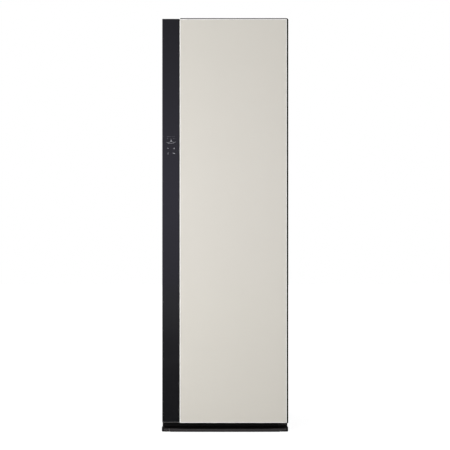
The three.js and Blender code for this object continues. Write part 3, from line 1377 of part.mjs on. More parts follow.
// Water pump: foot plate, motor can, pump head and two hose stubs.
function waterPump() {
  const sideSpace = 71;
  const frontSpace = 66;
  const width = 84;
  const depth = 60;
  const footX = [cavityHalf - sideSpace - width, cavityHalf - sideSpace];
  const footY = [cabinetFrontY + frontSpace, cabinetFrontY + frontSpace + depth];
  const footPlate = 4;
  const canRadius = 22;
  const canLength = 46;
  const headLength = 22;
  const stubRadius = 6;
  const stubLength = 16;
  const axisLift = 32;
  const middleY = (footY[0] + footY[1]) / 2;
  const axisZ = machineFloorZ + axisLift;
  const endMargin = (footX[1] - footX[0] - canLength - headLength) / 2;
  const canX = [footX[0] + endMargin, footX[0] + endMargin + canLength];
  const headX = [canX[1], canX[1] + headLength];
  const stubX = (headX[0] + headX[1]) / 2;
  const stub = (y) => rod('z', stubRadius, axisZ, axisZ + canRadius + stubLength, stubX, y, smallSegments);
  return join(
    block(footX, footY, [machineFloorZ, machineFloorZ + footPlate]),
    block([canX[0] + footPlate, canX[1] - footPlate], [middleY - canRadius / 2, middleY + canRadius / 2],
      [machineFloorZ + footPlate / 2, axisZ]),
    rod('x', canRadius, canX[0], canX[1] + footPlate / 2, middleY, axisZ),
    block(headX, [middleY - canRadius, middleY + canRadius], [axisZ - canRadius, axisZ + canRadius]),
    stub(middleY - canRadius / 2), stub(middleY + canRadius / 2));
}

// Puts the pieces of one rigid body in a group; an entry is a name, a geometry, a material
// and, where the piece is drawn about its own origin, its place.
function bodyOf(place, pieces) {
  const group = new THREE.Group();
  group.position.set(...place);
  for (const [name, geometry, material, position = [0, 0, 0]] of pieces) {
    const mesh = new THREE.Mesh(geometry, material);
    mesh.name = name;
    mesh.position.set(...position);
    group.add(mesh);
  }
  return group;
}

const origin = [0, 0, 0];
const cabinet = new THREE.Group();
cabinet.name = 'clothes_care_cabinet';

cabinet.add(bodyOf(origin, [
  ['base_stand', baseStand(), paintedSteel],
  ['base_pan', basePan(), paintedSteel],
  ['side_panel_left', sidePanel(-1), paintedSteel],
  ['side_panel_right', sidePanel(1), paintedSteel],
  ['top_cover', topCover(), paintedSteel],
  ['rear_cover', rearCover(), paintedSteel],
  ['front_bezel', frontBezel(), blackPlastic],
  ['insulation_shell', insulationShell(), foam],
  ['liner_left', linerSide(-1), cabinPlastic],
  ['liner_right', linerSide(1), cabinPlastic],
  ['liner_back', linerBack(), cabinPlastic],
  ['liner_ceiling', linerCeiling(), cabinPlastic],
  ['liner_floor', linerFloor(), cabinPlastic],
  ['ceiling_lamp', ceilingLamp(), lampPlastic],
  ['steam_nozzle', steamNozzle(), greyPlastic],
  ['tank_bay', tankBay(), blackPlastic],
  ['drive_frame', driveFrame(), brightSteel],
  ['guide_rod_front', guideRod(-railRodY), brightSteel],
  ['guide_rod_rear', guideRod(railRodY), brightSteel],
  ['drive_motor', driveMotor(), castAluminium],
  ['control_box', controlBox(), greyPlastic],
  ['hinge_bracket_top', hingeBracketTop(), brightSteel],
  ['hinge_bracket_bottom', hingeBracketBottom(), paintedSteel],
  ['hinge_cover', hingeCover(), blackPlastic],
  ['duct_tray', ductTray(), greyPlastic],
  ['evaporator', finnedCoil(), castAluminium, [evaporatorX, coilY, coilZ]],
  ['condenser', finnedCoil(), castAluminium, [condenserX, coilY, coilZ]],
  ['fan_housing', fanHousing(), greyPlastic, [0, blowerY, blowerZ]],
  ['compressor', compressor(), paintedSteel, [compressorX, compressorY, machineFloorZ]],
  ['steam_generator', steamGenerator(), castAluminium],
  ['water_pump', waterPump(), blackPlastic],
]));

for (const [side, x] of [['left', -footX], ['right', footX]]) {
  cabinet.add(bodyOf([x, frontFootY, 0], [[`levelling_foot_front_${side}`, footGeometry(), blackPlastic]]));
  cabinet.add(bodyOf([x, rearFootY, 0], [[`levelling_foot_rear_${side}`, footGeometry(), blackPlastic]]));
}

const door = bodyOf(origin, [
  ['door_core', doorCore(), foam],
  ['door_side_left', doorSideLeft(), blackPlastic],
  ['door_side_right', doorSideRight(), anodised],
  ['door_cap_top', doorCapTop(), blackPlastic],
  ['door_cap_bottom', doorCapBottom(), blackPlastic],
  ['decor_frame', decorFrame(), anodised],
  ['decor_glass', decorGlass(), beigeGlass],
  ['control_strip', controlStrip(), smokedGlass],
  ['control_board', controlBoard(), circuitGreen],
  ['door_liner', doorLiner(), cabinPlastic],
  ['door_wall_ring', doorWallRing(), cabinPlastic],
  ['door_gasket', doorGasket(), rubber],
  ['press_board', pressBoard(), greyPlastic],
]);
door.add(bodyOf([pressAxisX, pressAxisY, 0], [['press_cover', pressCover(), greyPlastic]]));
door.add(bodyOf([0, hookPivotY, hookPivotZ], [['trouser_hook', trouserHook(), greyPlastic]]));
door.add(bodyOf(origin, [['hem_clip', hemClip(), greyPlastic]]));
cabinet.add(door);

const tankX = (bayHalf + bayRib / 2) / 2;
const tankZ = bayFloorZ + gap;
cabinet.add(bodyOf([-tankX, tankFrontY, tankZ], [['supply_tank', waterTank(), tankPlastic]]));
cabinet.add(bodyOf([tankX, tankFrontY, tankZ], [['drain_tank', waterTank(), tankPlastic]]));
cabinet.add(bodyOf(origin, [['shelf', shelf(), cabinPlastic]]));
cabinet.add(bodyOf(origin, [['lint_filter', lintFilter(), greyPlastic]]));
cabinet.add(bodyOf(origin, [['aroma_cartridge', aromaCartridge(), greyPlastic]]));
cabinet.add(bodyOf(origin, [['crank', crank(), brightSteel]]));
cabinet.add(bodyOf(origin, [
  ['hanger_carriage', hangerCarriage(), greyPlastic],
  ['hanger_bar', hangerBar(), brightSteel],
]));
const wheelX = (blowerX[0] + blowerX[1]) / 2;
cabinet.add(bodyOf([wheelX, blowerY, blowerZ], [['fan_wheel', fanWheel(), blackPlastic]]));

export default cabinet;
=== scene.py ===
"""The looks of a tall clothes care steam cabinet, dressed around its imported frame.

The frame's bodies carry every piece. Sizes are in millimetres and become metres in the
mesh helpers; the floor and the lights are given in metres. The front faces -Y and the
door's hinges are on the right.
"""
import json
import math

import bmesh
import bpy
from mathutils import Matrix, Vector


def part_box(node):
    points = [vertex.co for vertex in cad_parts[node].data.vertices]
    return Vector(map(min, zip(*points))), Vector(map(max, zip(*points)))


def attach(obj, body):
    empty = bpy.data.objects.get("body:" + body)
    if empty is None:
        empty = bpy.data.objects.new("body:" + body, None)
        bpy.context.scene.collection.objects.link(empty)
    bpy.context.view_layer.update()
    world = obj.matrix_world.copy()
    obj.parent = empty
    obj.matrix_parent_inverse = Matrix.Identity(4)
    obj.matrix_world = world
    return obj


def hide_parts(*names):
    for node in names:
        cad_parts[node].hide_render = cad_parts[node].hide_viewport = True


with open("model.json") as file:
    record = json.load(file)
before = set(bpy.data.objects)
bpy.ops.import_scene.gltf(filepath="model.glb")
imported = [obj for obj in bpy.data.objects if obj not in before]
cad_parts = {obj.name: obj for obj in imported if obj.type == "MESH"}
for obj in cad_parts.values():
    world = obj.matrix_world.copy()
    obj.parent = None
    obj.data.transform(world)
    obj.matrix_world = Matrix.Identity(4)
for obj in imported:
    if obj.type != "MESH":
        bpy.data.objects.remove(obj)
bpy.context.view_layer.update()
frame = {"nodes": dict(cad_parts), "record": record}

MM = 0.001
BODY_OF = {node: body
           for body, nodes in frame["record"]["behaviour"]["bodies"].items()
           for node in nodes}
SLOT_OF = {part["node"]: part["material_slot"] for part in frame["record"]["subparts"]}

# Faces that meet at more than this many degrees show an edge.
CREASE = 40
# The rim of a plate whose edges stay sharp.
HAIR = 0.02


# Outlines

def span(node):
    """The node's extent in millimetres: a pair for x, for y and for z."""
    low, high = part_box(node)
    return [(low[i] / MM, high[i] / MM) for i in range(3)]


def arc(u, v, radius, start, end, steps):
    """Points on an arc; angles in degrees, 0 to the right, anticlockwise."""
    turns = [math.radians(start + (end - start) * i / steps) for i in range(steps + 1)]
    return [(u + radius * math.cos(turn), v + radius * math.sin(turn)) for turn in turns]


def circle(u, v, radius, steps=32):
    """Points round a circle, anticlockwise."""
    return arc(u, v, radius, 0, 360, steps)[:-1]


def rounded_rect(u, v, radius, steps=6):
    """Points of a rectangle with round corners, anticlockwise."""
    left = u[0] + radius
    right = u[1] - radius
    low = v[0] + radius
    high = v[1] - radius
    return (arc(right, low, radius, -90, 0, steps) + arc(right, high, radius, 0, 90, steps)
            + arc(left, high, radius, 90, 180, steps) + arc(left, low, radius, 180, 270, steps))


def cross(u, v, reach, half):
    """Outline of a cross slot, anticlockwise."""
    quarter = [(reach, -half), (reach, half), (half, half)]
    points = []
    for turn in range(4):
        for a, b in quarter:
            for _ in range(turn):
                a, b = -b, a
            points.append((u + a, v + b))
    return points


# Mesh helpers

def placed(name, data):
    """A new object in the scene."""
    thing = bpy.data.objects.new(name, data)
    bpy.context.scene.collection.objects.link(thing)
    return thing


def stand_up(mesh, axis):
    """Turns a drawing in (u, v, w) so that w runs along the axis."""
    rows = {
        "x": ((0, 0, 1, 0), (1, 0, 0, 0), (0, 1, 0, 0), (0, 0, 0, 1)),
        "y": ((1, 0, 0, 0), (0, 0, 1, 0), (0, 1, 0, 0), (0, 0, 0, 1)),
        "z": ((1, 0, 0, 0), (0, 1, 0, 0), (0, 0, 1, 0), (0, 0, 0, 1)),
    }[axis]
    mesh.transform(Matrix(rows))
    if axis == "y":
        mesh.flip_normals()
    return mesh


def moved(mesh, x=0, y=0, z=0):
    """The mesh, moved by millimetres."""
    mesh.transform(Matrix.Translation((x * MM, y * MM, z * MM)))
    return mesh


def baked(work):
    """The mesh of a finished work, its faces turned outwards."""
    mesh = bpy.data.meshes.new("made")
    bmesh.ops.recalc_face_normals(work, faces=work.faces)
    work.to_mesh(mesh)
    work.free()
    return mesh


def joined(*meshes):
    """One mesh out of several."""
    work = bmesh.new()
    for mesh in meshes:
        work.from_mesh(mesh)
        bpy.data.meshes.remove(mesh)
    mesh = bpy.data.meshes.new("made")
    work.to_mesh(mesh)
    work.free()
    return mesh


def smooth(mesh, angle):
    """Shades the mesh smooth, but not over edges sharper than the angle."""
    for face in mesh.polygons:
        face.use_smooth = True
    mesh.set_sharp_from_angle(angle=math.radians(angle))


def piece(name, mesh, body, slot, material=None, angle=CREASE):
    """Puts a mesh in the scene as a piece that rides on a body. Without a material it has
    its slot's finish."""
    mesh.name = name
    mesh.materials.append(material or FINISH[slot])
    smooth(mesh, angle)
    thing = placed(name, mesh)
    flatten = thing.modifiers.new("even_normals", "WEIGHTED_NORMAL")
    flatten.keep_sharp = True
    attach(thing, body)
    return thing


def add_loop(curve, points):
    """Draws a closed loop on the curve."""
    spline = curve.splines.new("POLY")
    spline.points.add(len(points) - 1)
    for point, (u, v) in zip(spline.points, points):
        point.co = (u * MM, v * MM, 0, 1)
    spline.use_cyclic_u = True


def solid_of(curve):
    """The mesh that the curve makes. The curve itself goes."""
    holder = placed("made", curve)
    shown = holder.evaluated_get(bpy.context.evaluated_depsgraph_get())
    mesh = bpy.data.meshes.new_from_object(shown)
    bpy.data.objects.remove(holder)
    bpy.data.curves.remove(curve)
    return mesh


def plate(loops, axis, start, end, bevel, steps=2):
    """A flat plate across the axis with softened rims. The first loop is its outline, the
    others are holes; all are given anticlockwise."""
    same_point = 0.005
    curve = bpy.data.curves.new("made", "CURVE")
    curve.dimensions = "2D"
    curve.fill_mode = "BOTH"
    curve.bevel_depth = bevel * MM
    curve.bevel_resolution = steps
    curve.offset = -bevel * MM
    curve.extrude = ((end - start) / 2 - bevel) * MM
    add_loop(curve, loops[0])
    for hole in loops[1:]:
        add_loop(curve, hole[::-1])
    mesh = solid_of(curve)
    work = bmesh.new()
    work.from_mesh(mesh)
    bpy.data.meshes.remove(mesh)
    bmesh.ops.remove_doubles(work, verts=work.verts, dist=same_point * MM)
    bmesh.ops.translate(work, verts=work.verts, vec=(0, 0, (start + end) / 2 * MM))
    return stand_up(baked(work), axis)


def lathe(profile, axis, centre, steps):
    """A turned form from (radius, height) pairs, about a line along the axis through the centre."""
    work = bmesh.new()
    rings = []
    for radius, height in profile:
        outline = circle(0, 0, radius, steps) if radius else [(0, 0)]
        rings.append([work.verts.new((u * MM, v * MM, height * MM)) for u, v in outline])
    for low, high in zip(rings, rings[1:]):
        for i in range(steps):
            j = (i + 1) % steps
            ring = [low[i % len(low)], low[j % len(low)], high[j % len(high)], high[i % len(high)]]
            corners = list(dict.fromkeys(ring))
            if len(corners) > 2:
                work.faces.new(corners)
    return moved(stand_up(baked(work), axis), *centre)


def add_sides(work, one, two):
    """Faces between two rings of as many points."""
    for i in range(len(one)):
        j = (i + 1) % len(one)
        work.faces.new((one[i], one[j], two[j], two[i]))


def lofted(rings):
    """A closed form through rings of points in millimetres, each with the same count."""
    work = bmesh.new()
    loops = [[work.verts.new([value * MM for value in point]) for point in ring] for ring in rings]
    for one, two in zip(loops, loops[1:]):
        add_sides(work, one, two)
    work.faces.new(loops[0])
    work.faces.new(loops[-1][::-1])
    return baked(work)


def moulding(u, v, radius, profile, axis):
    """A closed moulding round a rectangle with round corners. Each point of the profile says
    how far outside the rectangle it is and where it is along the axis."""
    steps = 8
    work = bmesh.new()
    loops = []
    for out, along in profile:
        outline = rounded_rect((u[0] - out, u[1] + out), (v[0] - out, v[1] + out), radius + out, steps)
        loops.append([work.verts.new((p * MM, q * MM, along * MM)) for p, q in outline])
    for one, two in zip(loops, loops[1:] + loops[:1]):
        add_sides(work, one, two)
    return stand_up(baked(work), axis)


def softened(node, width, name=None, material=None):
    """A copy of a CAD node with its edges rounded over, which stands for the node."""
    same_point = 0.001
    flat = math.radians(1)
    work = bmesh.new()
    work.from_mesh(frame["nodes"][node].data)
    bmesh.ops.remove_doubles(work, verts=work.verts, dist=same_point * MM)
    bmesh.ops.dissolve_limit(work, angle_limit=flat, verts=work.verts, edges=work.edges)
    sharp = [edge for edge in work.edges
             if len(edge.link_faces) == 2 and edge.calc_face_angle() > math.radians(CREASE)]
    bmesh.ops.bevel(work, geom=sharp, offset=width * MM, offset_type="OFFSET", segments=2,
                    profile=0.5, affect="EDGES", clamp_overlap=True)
    thing = piece(name or node + "_finished", baked(work), BODY_OF[node], SLOT_OF[node], material)
    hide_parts(node)


# Material helpers

def srgb(red, green, blue):
    """A colour as seen, 0 to 255, in linear light."""
    full = 255
    toe = 0.04045
    toe_slope = 12.92
    offset = 0.055
    power = 2.4

    def linear(value):
        share = value / full
        return share / toe_slope if share <= toe else ((share + offset) / (1 + offset)) ** power

    return (linear(red), linear(green), linear(blue), 1)


def add(tree, kind, inputs=None, **settings):
    """A shader node with its settings and inputs, each a value or another node's output."""
    node = tree.nodes.new("ShaderNode" + kind)
    for key, value in settings.items():
        setattr(node, key, value)
    for key, value in (inputs or {}).items():
        if isinstance(value, bpy.types.NodeSocket):
            tree.links.new(value, node.inputs[key])
        else:
            node.inputs[key].default_value = value
    return node


def result_of(tree, operation, one, two=0):
    """The result of an operation on two values."""
    return add(tree, "Math", {0: one, 1: two}, operation=operation).outputs[0]


def mapped(tree, value, reach, low, high):
    """A value that goes from low to high as the given one crosses its reach, a pair."""
    inputs = {"Value": value, "From Min": reach[0], "From Max": reach[1], "To Min": low, "To Max": high}
    return add(tree, "MapRange", inputs).outputs["Result"]


def mixed(tree, share, one, two):
    """A colour that goes from the first to the second with the share."""
    blend = add(tree, "Mix", data_type="RGBA")
    tree.links.new(share, blend.inputs["Factor"])
    colours = [socket for socket in blend.inputs if socket.type == "RGBA"]
    colours[0].default_value = one
    colours[1].default_value = two
    return [socket for socket in blend.outputs if socket.type == "RGBA"][0]


def noise(tree, place, scale, detail=2, rough=0.5):
    """A cloudy value around a half."""
    inputs = {"Vector": place, "Scale": scale, "Detail": detail, "Roughness": rough}
    return add(tree, "TexNoise", inputs).outputs["Fac"]


def spread(tree, value, low, high):
    """Maps a noise's usual range to another."""
    usual = (0.3, 0.7)
    return mapped(tree, value, usual, low, high)


def tinted(colour, share):
    """The colour made darker or lighter by a share."""
    return tuple(min(1, channel * share) for channel in colour[:3]) + (1,)


def new_tree(name):
    """A new material, its node tree and its shader."""
    material = bpy.data.materials.new(name)
    material.use_nodes = True
    tree = material.node_tree
    return material, tree, tree.nodes["Principled BSDF"]


def surface(name, colour, roughness, mottle=0.04, mottle_scale=5, rough_spread=0.12, grain=0.15,
            grain_scale=900, stretch=(1, 1, 1), **sockets):
    """A finish whose colour is faintly clouded, whose gloss varies and whose face has a grain."""
    cloud_detail = 3
    gloss_finer = 4
    gloss_detail = 4
    gloss_rough = 0.6
    grain_depth = 0.15
    material, tree, shader = new_tree(name)
    place = add(tree, "TexCoord").outputs["Object"]
    drawn = add(tree, "Mapping", {"Vector": place, "Scale": stretch}).outputs["Vector"]
    cloud = noise(tree, drawn, mottle_scale, cloud_detail)
    tone = mixed(tree, cloud, tinted(colour, 1 - mottle), tinted(colour, 1 + mottle))
    tree.links.new(tone, shader.inputs["Base Color"])
    wear = noise(tree, drawn, mottle_scale * gloss_finer, gloss_detail, gloss_rough)
    gloss = spread(tree, wear, roughness * (1 - rough_spread), roughness * (1 + rough_spread))
    tree.links.new(gloss, shader.inputs["Roughness"])
    if grain:
        height = noise(tree, drawn, grain_scale)
        bump = add(tree, "Bump", {"Height": height, "Strength": grain, "Distance": grain_depth * MM})
        tree.links.new(bump.outputs["Normal"], shader.inputs["Normal"])
    for key, value in sockets.items():
        shader.inputs[key.replace("_", " ")].default_value = value
    return material


# Finishes

FINISH = {
    "painted_steel": surface("painted_steel", srgb(46, 44, 44), roughness=0.5, grain=0.35,
                             grain_scale=1300, Specular_IOR_Level=0.3),
    "black_plastic": surface("black_plastic", srgb(18, 18, 18), roughness=0.5, grain=0.4,
                             grain_scale=1600, Specular_IOR_Level=0.25),
    "grey_plastic": surface("grey_plastic", srgb(150, 152, 154), roughness=0.42, grain=0.25,
                            grain_scale=1500),
    "cabin_plastic": surface("cabin_plastic", srgb(214, 215, 214), roughness=0.32, mottle=0.02,
                             grain=0.12, grain_scale=1100),
    "lamp_plastic": surface("lamp_plastic", srgb(246, 244, 236), roughness=0.3, mottle=0.02,
                            Subsurface_Weight=0.4, Emission_Strength=0.25,
                            Emission_Color=srgb(255, 250, 238)),
    "foam": surface("foam", srgb(232, 228, 214), roughness=0.9, mottle=0.08, mottle_scale=60,
                    grain=0.8, grain_scale=500),
    "gasket_rubber": surface("gasket_rubber", srgb(34, 34, 36), roughness=0.62, grain=0.3,
                             grain_scale=1400),
    "beige_glass": surface("beige_glass", srgb(219, 215, 206), roughness=0.12, mottle=0.008,
                           mottle_scale=1.5, rough_spread=0.3, grain=0.02, grain_scale=12),
    "smoked_glass": surface("smoked_glass", srgb(10, 10, 12), roughness=0.08, mottle=0.1,
                            mottle_scale=2, rough_spread=0.4, grain=0, Specular_IOR_Level=0.48,
                            Specular_Tint=(0.91, 0.91, 1, 1)),
    "anodised": surface("anodised", srgb(40, 38, 34), roughness=0.34, mottle=0.05, mottle_scale=40,
                        stretch=(1, 1, 0.02), grain=0.3, grain_scale=1500, Metallic=1),
    "bright_steel": surface("bright_steel", srgb(190, 192, 196), roughness=0.28, mottle=0.04,
                            mottle_scale=60, stretch=(0.03, 1, 1), grain=0.3, grain_scale=1500,
                            Metallic=1),
    "cast_aluminium": surface("cast_aluminium", srgb(176, 178, 182), roughness=0.45, mottle=0.06,
                              mottle_scale=30, grain=0.5, grain_scale=700, Metallic=1),
    "compressor_shell": surface("compressor_shell", srgb(22, 22, 23), roughness=0.25, grain=0.2,
                                grain_scale=400),
    "circuit_board": surface("circuit_board", srgb(28, 84, 52), roughness=0.35, mottle=0.25,
                             mottle_scale=160),
    "tank_plastic": surface("tank_plastic", srgb(148, 156, 160), roughness=0.16, mottle=0.02,
                            grain=0.05, Transmission_Weight=0.75, IOR=1.35),
}
# Near white for the polished glass edge, partly its own look and partly a painted highlight along it.
POLISHED_EDGE_AND_HIGHLIGHT = surface("polished_edge_and_highlight", srgb(250, 249, 245), roughness=0.1, mottle=0.01, grain=0)
BAND_PAINT = surface("band_paint", srgb(60, 57, 58), roughness=0.5, grain=0.35, grain_scale=1300,
                     Specular_IOR_Level=0.3)
# A pale grey that paints the highlight on the left joint of the stand.
JOINT_HIGHLIGHT_PAINT = surface("joint_painted_highlight", srgb(104, 102, 103), roughness=0.4, grain=0.2, grain_scale=1300)
# A darker copy of the painted steel, near black: painted shade for the pan, its front wall and the
# stand under the door.
PLINTH_PAINTED_SHADE = surface("plinth_painted_shade", srgb(22, 21, 20), roughness=0.6, grain=0.3, grain_scale=1300,
                       Specular_IOR_Level=0.2)
SATIN_TRIM = surface("satin_trim", srgb(92, 91, 90), roughness=0.35, grain=0.2, grain_scale=1500)
LIT_PRINT = surface("lit_print", srgb(214, 215, 220), roughness=0.4, mottle=0.02, grain=0)
MID_PRINT = surface("mid_print", srgb(150, 150, 156), roughness=0.4, mottle=0.02, grain=0)
DIM_PRINT = surface("dim_print", srgb(118, 118, 124), roughness=0.4, mottle=0.02, grain=0)
TANK_WINDOW = surface("tank_window", srgb(205, 214, 218), roughness=0.1, mottle=0.02, grain=0,
                      Transmission_Weight=0.6, IOR=1.35)
WHITE = (1, 1, 1, 1)


# Camera, floor and light

def make_camera():
    """Square to the door, five metres in front of it, at half the cabinet's height."""
    distance = 5000
    height = 980.5
    view_width = 2131.6
    sensor = 36
    farthest = 100
    level = math.radians(90)
    front = span("decor_frame")[1][0]
    data = bpy.data.cameras.new("camera")
    data.sensor_width = sensor
    data.lens = sensor * distance / view_width
    data.clip_end = farthest
    camera = placed("camera", data)
    camera.location = (0, (front - distance) * MM, height * MM)
    camera.rotation_euler = (level, 0, 0)
    bpy.context.scene.camera = camera


def make_world():
    """A plain room: white where it is seen, and in a reflection white only near the horizon."""
    light = 0.38
    mirrored_high_up = 0.5
    brightest = 0.03
    fade = (0.02, 0.17)
    cool = (0.88, 0.85, 1, 1)
    world = bpy.data.worlds.new("studio")
    bpy.context.scene.world = world
    world.use_nodes = True
    tree = world.node_tree
    direction = add(tree, "SeparateXYZ", {0: add(tree, "TexCoord").outputs["Generated"]}).outputs["Z"]
    tilt = result_of(tree, "ABSOLUTE", result_of(tree, "SUBTRACT", direction, brightest))
    room = mapped(tree, tilt, fade, 1, mirrored_high_up)
    path = add(tree, "LightPath").outputs
    mirrored = result_of(tree, "MULTIPLY", room, path["Is Glossy Ray"])
    seen = result_of(tree, "MAXIMUM", path["Is Camera Ray"], path["Is Transmission Ray"])
    bright = result_of(tree, "MAXIMUM", seen, mirrored)
    strength = result_of(tree, "MAXIMUM", bright, light)
    background = tree.nodes["Background"]
    tree.links.new(mixed(tree, mirrored, WHITE, cool), background.inputs["Color"])
    tree.links.new(strength, background.inputs["Strength"])


def floor_glow(tree, path, distance):
    """How much the floor shines by itself, more with the distance from the cabinet."""
    near_lift = 0.88
    lift_reach = (1.2, 4.5)
    mirror_lift = 0.34
    mirror_reach = (2.5, 8)
    seen = result_of(tree, "MULTIPLY", path["Is Camera Ray"],
                     mapped(tree, distance, lift_reach, near_lift, 1))
    mirrored = result_of(tree, "MULTIPLY", path["Is Glossy Ray"],
                         mapped(tree, distance, mirror_reach, 0, mirror_lift))
    return result_of(tree, "ADD", seen, mirrored)


def floor_shade(tree, path, distance):
    """How much the floor's own colour is held back."""
    own_shade = 0.62
    mirror_shade = 0.66
    mirror_reach = (2.2, 5.5)
    seen = result_of(tree, "MULTIPLY", path["Is Camera Ray"], own_shade)
    mirrored = result_of(tree, "MULTIPLY", path["Is Glossy Ray"],
                         mapped(tree, distance, mirror_reach, mirror_shade, 0))
    return result_of(tree, "ADD", seen, mirrored)


def make_floor():
    """A pale floor that keeps the shadow near the cabinet and fades into the background."""
    half = 12
    pale = 0.82
    darkest = 0.99
    cloud_scale = 3
    cloud_detail = 3
    mesh = bpy.data.meshes.new("floor")
    corners = [(-half, -half, 0), (half, -half, 0), (half, half, 0), (-half, half, 0)]
    mesh.from_pydata(corners, [], [(0, 1, 2, 3)])
    floor = placed("floor", mesh)
    material, tree, shader = new_tree("floor")
    path = add(tree, "LightPath").outputs
    place = add(tree, "TexCoord").outputs["Object"]
    distance = add(tree, "VectorMath", {0: place}, operation="LENGTH").outputs["Value"]
    glow = floor_glow(tree, path, distance)
    shade = floor_shade(tree, path, distance)
    cloud = spread(tree, noise(tree, place, cloud_scale, cloud_detail), pale * darkest, pale)
    level = result_of(tree, "MULTIPLY", cloud, result_of(tree, "SUBTRACT", 1, shade))
    tree.links.new(level, shader.inputs["Base Color"])
    tree.links.new(glow, shader.inputs["Emission Strength"])
    shader.inputs["Emission Color"].default_value = WHITE
    shader.inputs["Roughness"].default_value = 0.9
    shader.inputs["Specular IOR Level"].default_value = 0.1
    mesh.materials.append(material)


def area_light(name, place, target, size, power):
    """A soft lamp that looks at the target; no reflection shows it."""
    data = bpy.data.lights.new(name, "AREA")
    data.shape = "RECTANGLE"
    data.size, data.size_y = size
    data.energy = power
    light = placed(name, data)
    light.visible_glossy = False
    light.location = place
    light.rotation_euler = (Vector(target) - Vector(place)).to_track_quat("-Z", "Y").to_euler()


def make_lights():
    """Two soft lamps in front, one above and two behind."""
    middle = (0, -0.3, 1.0)
    area_light("key", place=(-2.0, -2.6, 1.1), target=middle, size=(1.6, 1.6), power=57)
    area_light("fill", place=(3.0, -3.0, 1.3), target=middle, size=(2.0, 2.4), power=12)
    area_light("top", place=(0, -0.6, 4.2), target=(0, 0, 1), size=(3.0, 3.0), power=22)
    area_light("back_left", place=(-2.6, 3.0, 1.5), target=(0, 0.3, 0.9), size=(2.4, 2.4), power=34)
    area_light("back_right", place=(3.2, 2.0, 1.3), target=(0.2, 0.2, 0.9), size=(2.0, 2.4), power=22)


make_camera()
make_world()
make_floor()
make_lights()

for node, thing in frame["nodes"].items():
    for place in thing.material_slots:
        place.material = FINISH[SLOT_OF[node]]


# Door front

def glass_panel():
    """Back-painted glass with a polished chamfer all round. The chamfer and a narrow border inside it
    are near white: partly the glass's own polished edge, partly a painted highlight along it.
    """
    reveal_left = 0.4
    reveal_top = 0.6
    corner = 2.5
    inner_corner = 1
    border_left = 5
    border = 4.6
    chamfer = 0.8
    backing_depth = 1
    flat_angle = 20
    x, y, z = span("decor_glass")
    x = (x[0] + reveal_left, x[1])
    z = (z[0], z[1] - reveal_top)
    back = y[1] - backing_depth
    rim = rounded_rect(x, z, corner)
    face_x = (x[0] + border_left, x[1] - border)
    face_z = (z[0] + border, z[1] - border)
    inner = rounded_rect(face_x, face_z, inner_corner)
    front = plate([inner], "y", y[0], back, HAIR, steps=0)
    backing = plate([rim], "y", back, y[1], HAIR, steps=0)
    thing = piece("glass_panel", joined(front, backing), "door", "beige_glass", angle=flat_angle)
    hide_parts("decor_glass")
    # The chamfered border round the glass face, near white as a painted highlight on the polished edge.
    edge = plate([rim, inner], "y", y[0], back, chamfer, steps=0)
    piece("glass_edge", edge, "door", "beige_glass", POLISHED_EDGE_AND_HIGHLIGHT, angle=flat_angle)


def panel_frame():
    """The metal frame round the glass, its two corners on the hinge side drawn tighter."""
    softened("decor_frame", width=0.3, name="panel_frame")
    x, y, z = span("decor_frame")
    glass_x, _, glass_z = span("decor_glass")
    reach = 11
    play = 0.3
    low_radius = 3
    high_radius = 8.8
    inner_x = glass_x[1] + play
    for name, edge, inner, way, radius, start in (
            ("frame_corner_low", z[0], glass_z[0] - play, 1, low_radius, -90),
            ("frame_corner_high", z[1], glass_z[1] + play, -1, high_radius, 0)):
        bend = arc(x[1] - radius, edge + way * radius, radius, start, start + 90, steps=8)
        end = edge + way * reach
        rest = [(x[1], end), (inner_x, end), (inner_x, inner), (x[1] - reach, inner),
                (x[1] - reach, edge)]
        corner = plate([bend + rest[::way]], "y", y[0] + HAIR, y[1] - HAIR, HAIR, steps=0)
        piece(name, corner, "door", SLOT_OF["decor_frame"])


def strip_trim():
    """A slim satin trim across the lower end of the touch strip."""
    side_gap = 1
    below = 2.2
    above = 0.4
    corner = 0.6
    proud = 0.4
    sunk = 0.2
    x, y, z = span("control_strip")
    outline = rounded_rect((x[0] + side_gap, x[1]), (z[0] - below, z[0] + above), corner)
    mesh = plate([outline], "y", y[0] - proud, y[1] + sunk, proud)
    piece("strip_end_trim", mesh, "door", "black_plastic", SATIN_TRIM)


# Printed touch marks, drawn in (x, z)

PRINT_FACE = span("control_strip")[1][0]
LINE = 0.9
BOLD = LINE * 1.3
MIDDLE_ROW = 1344.4


def stroke(points, width):
    """A thin raised line on the touch strip's face."""
    thickness = 0.12
    path = [Vector(point) for point in points]
    last = len(path) - 1
    work = bmesh.new()
    rows = []
    for i, point in enumerate(path):
        along = (path[min(i + 1, last)] - path[max(i - 1, 0)]).normalized()
        side = Vector((-along.y, along.x)) * width / 2
        corners = [(point + side, 0), (point - side, 0), (point - side, 1), (point + side, 1)]
        rows.append([work.verts.new((p.x * MM, (PRINT_FACE - thickness * top) * MM, p.y * MM))
                     for p, top in corners])
    for one, two in zip(rows, rows[1:]):
        add_sides(work, one, two)
    work.faces.new(rows[0])
    work.faces.new(rows[-1][::-1])
    return baked(work)


def printed(name, strokes, paint):
    """A mark of one or more strokes."""
    piece(name, joined(*strokes), "door", "smoked_glass", paint)


def dash_rows():
    """Two rows of dashes at the top of the display."""
    high = 1400.6
    low = 1391
    for name, z, starts, length in (("dash_row_high", high, (-276, -269.4, -262.8), 4.6),
                                    ("dash_row_right", high, (-252, -245), 4),
                                    ("dash_row_low", low, (-275.5,), 6),
                                    ("dash_row_faint", low, (-247, -240), 4)):
        printed(name, [stroke([(x, z), (x + length, z)], LINE) for x in starts], DIM_PRINT)


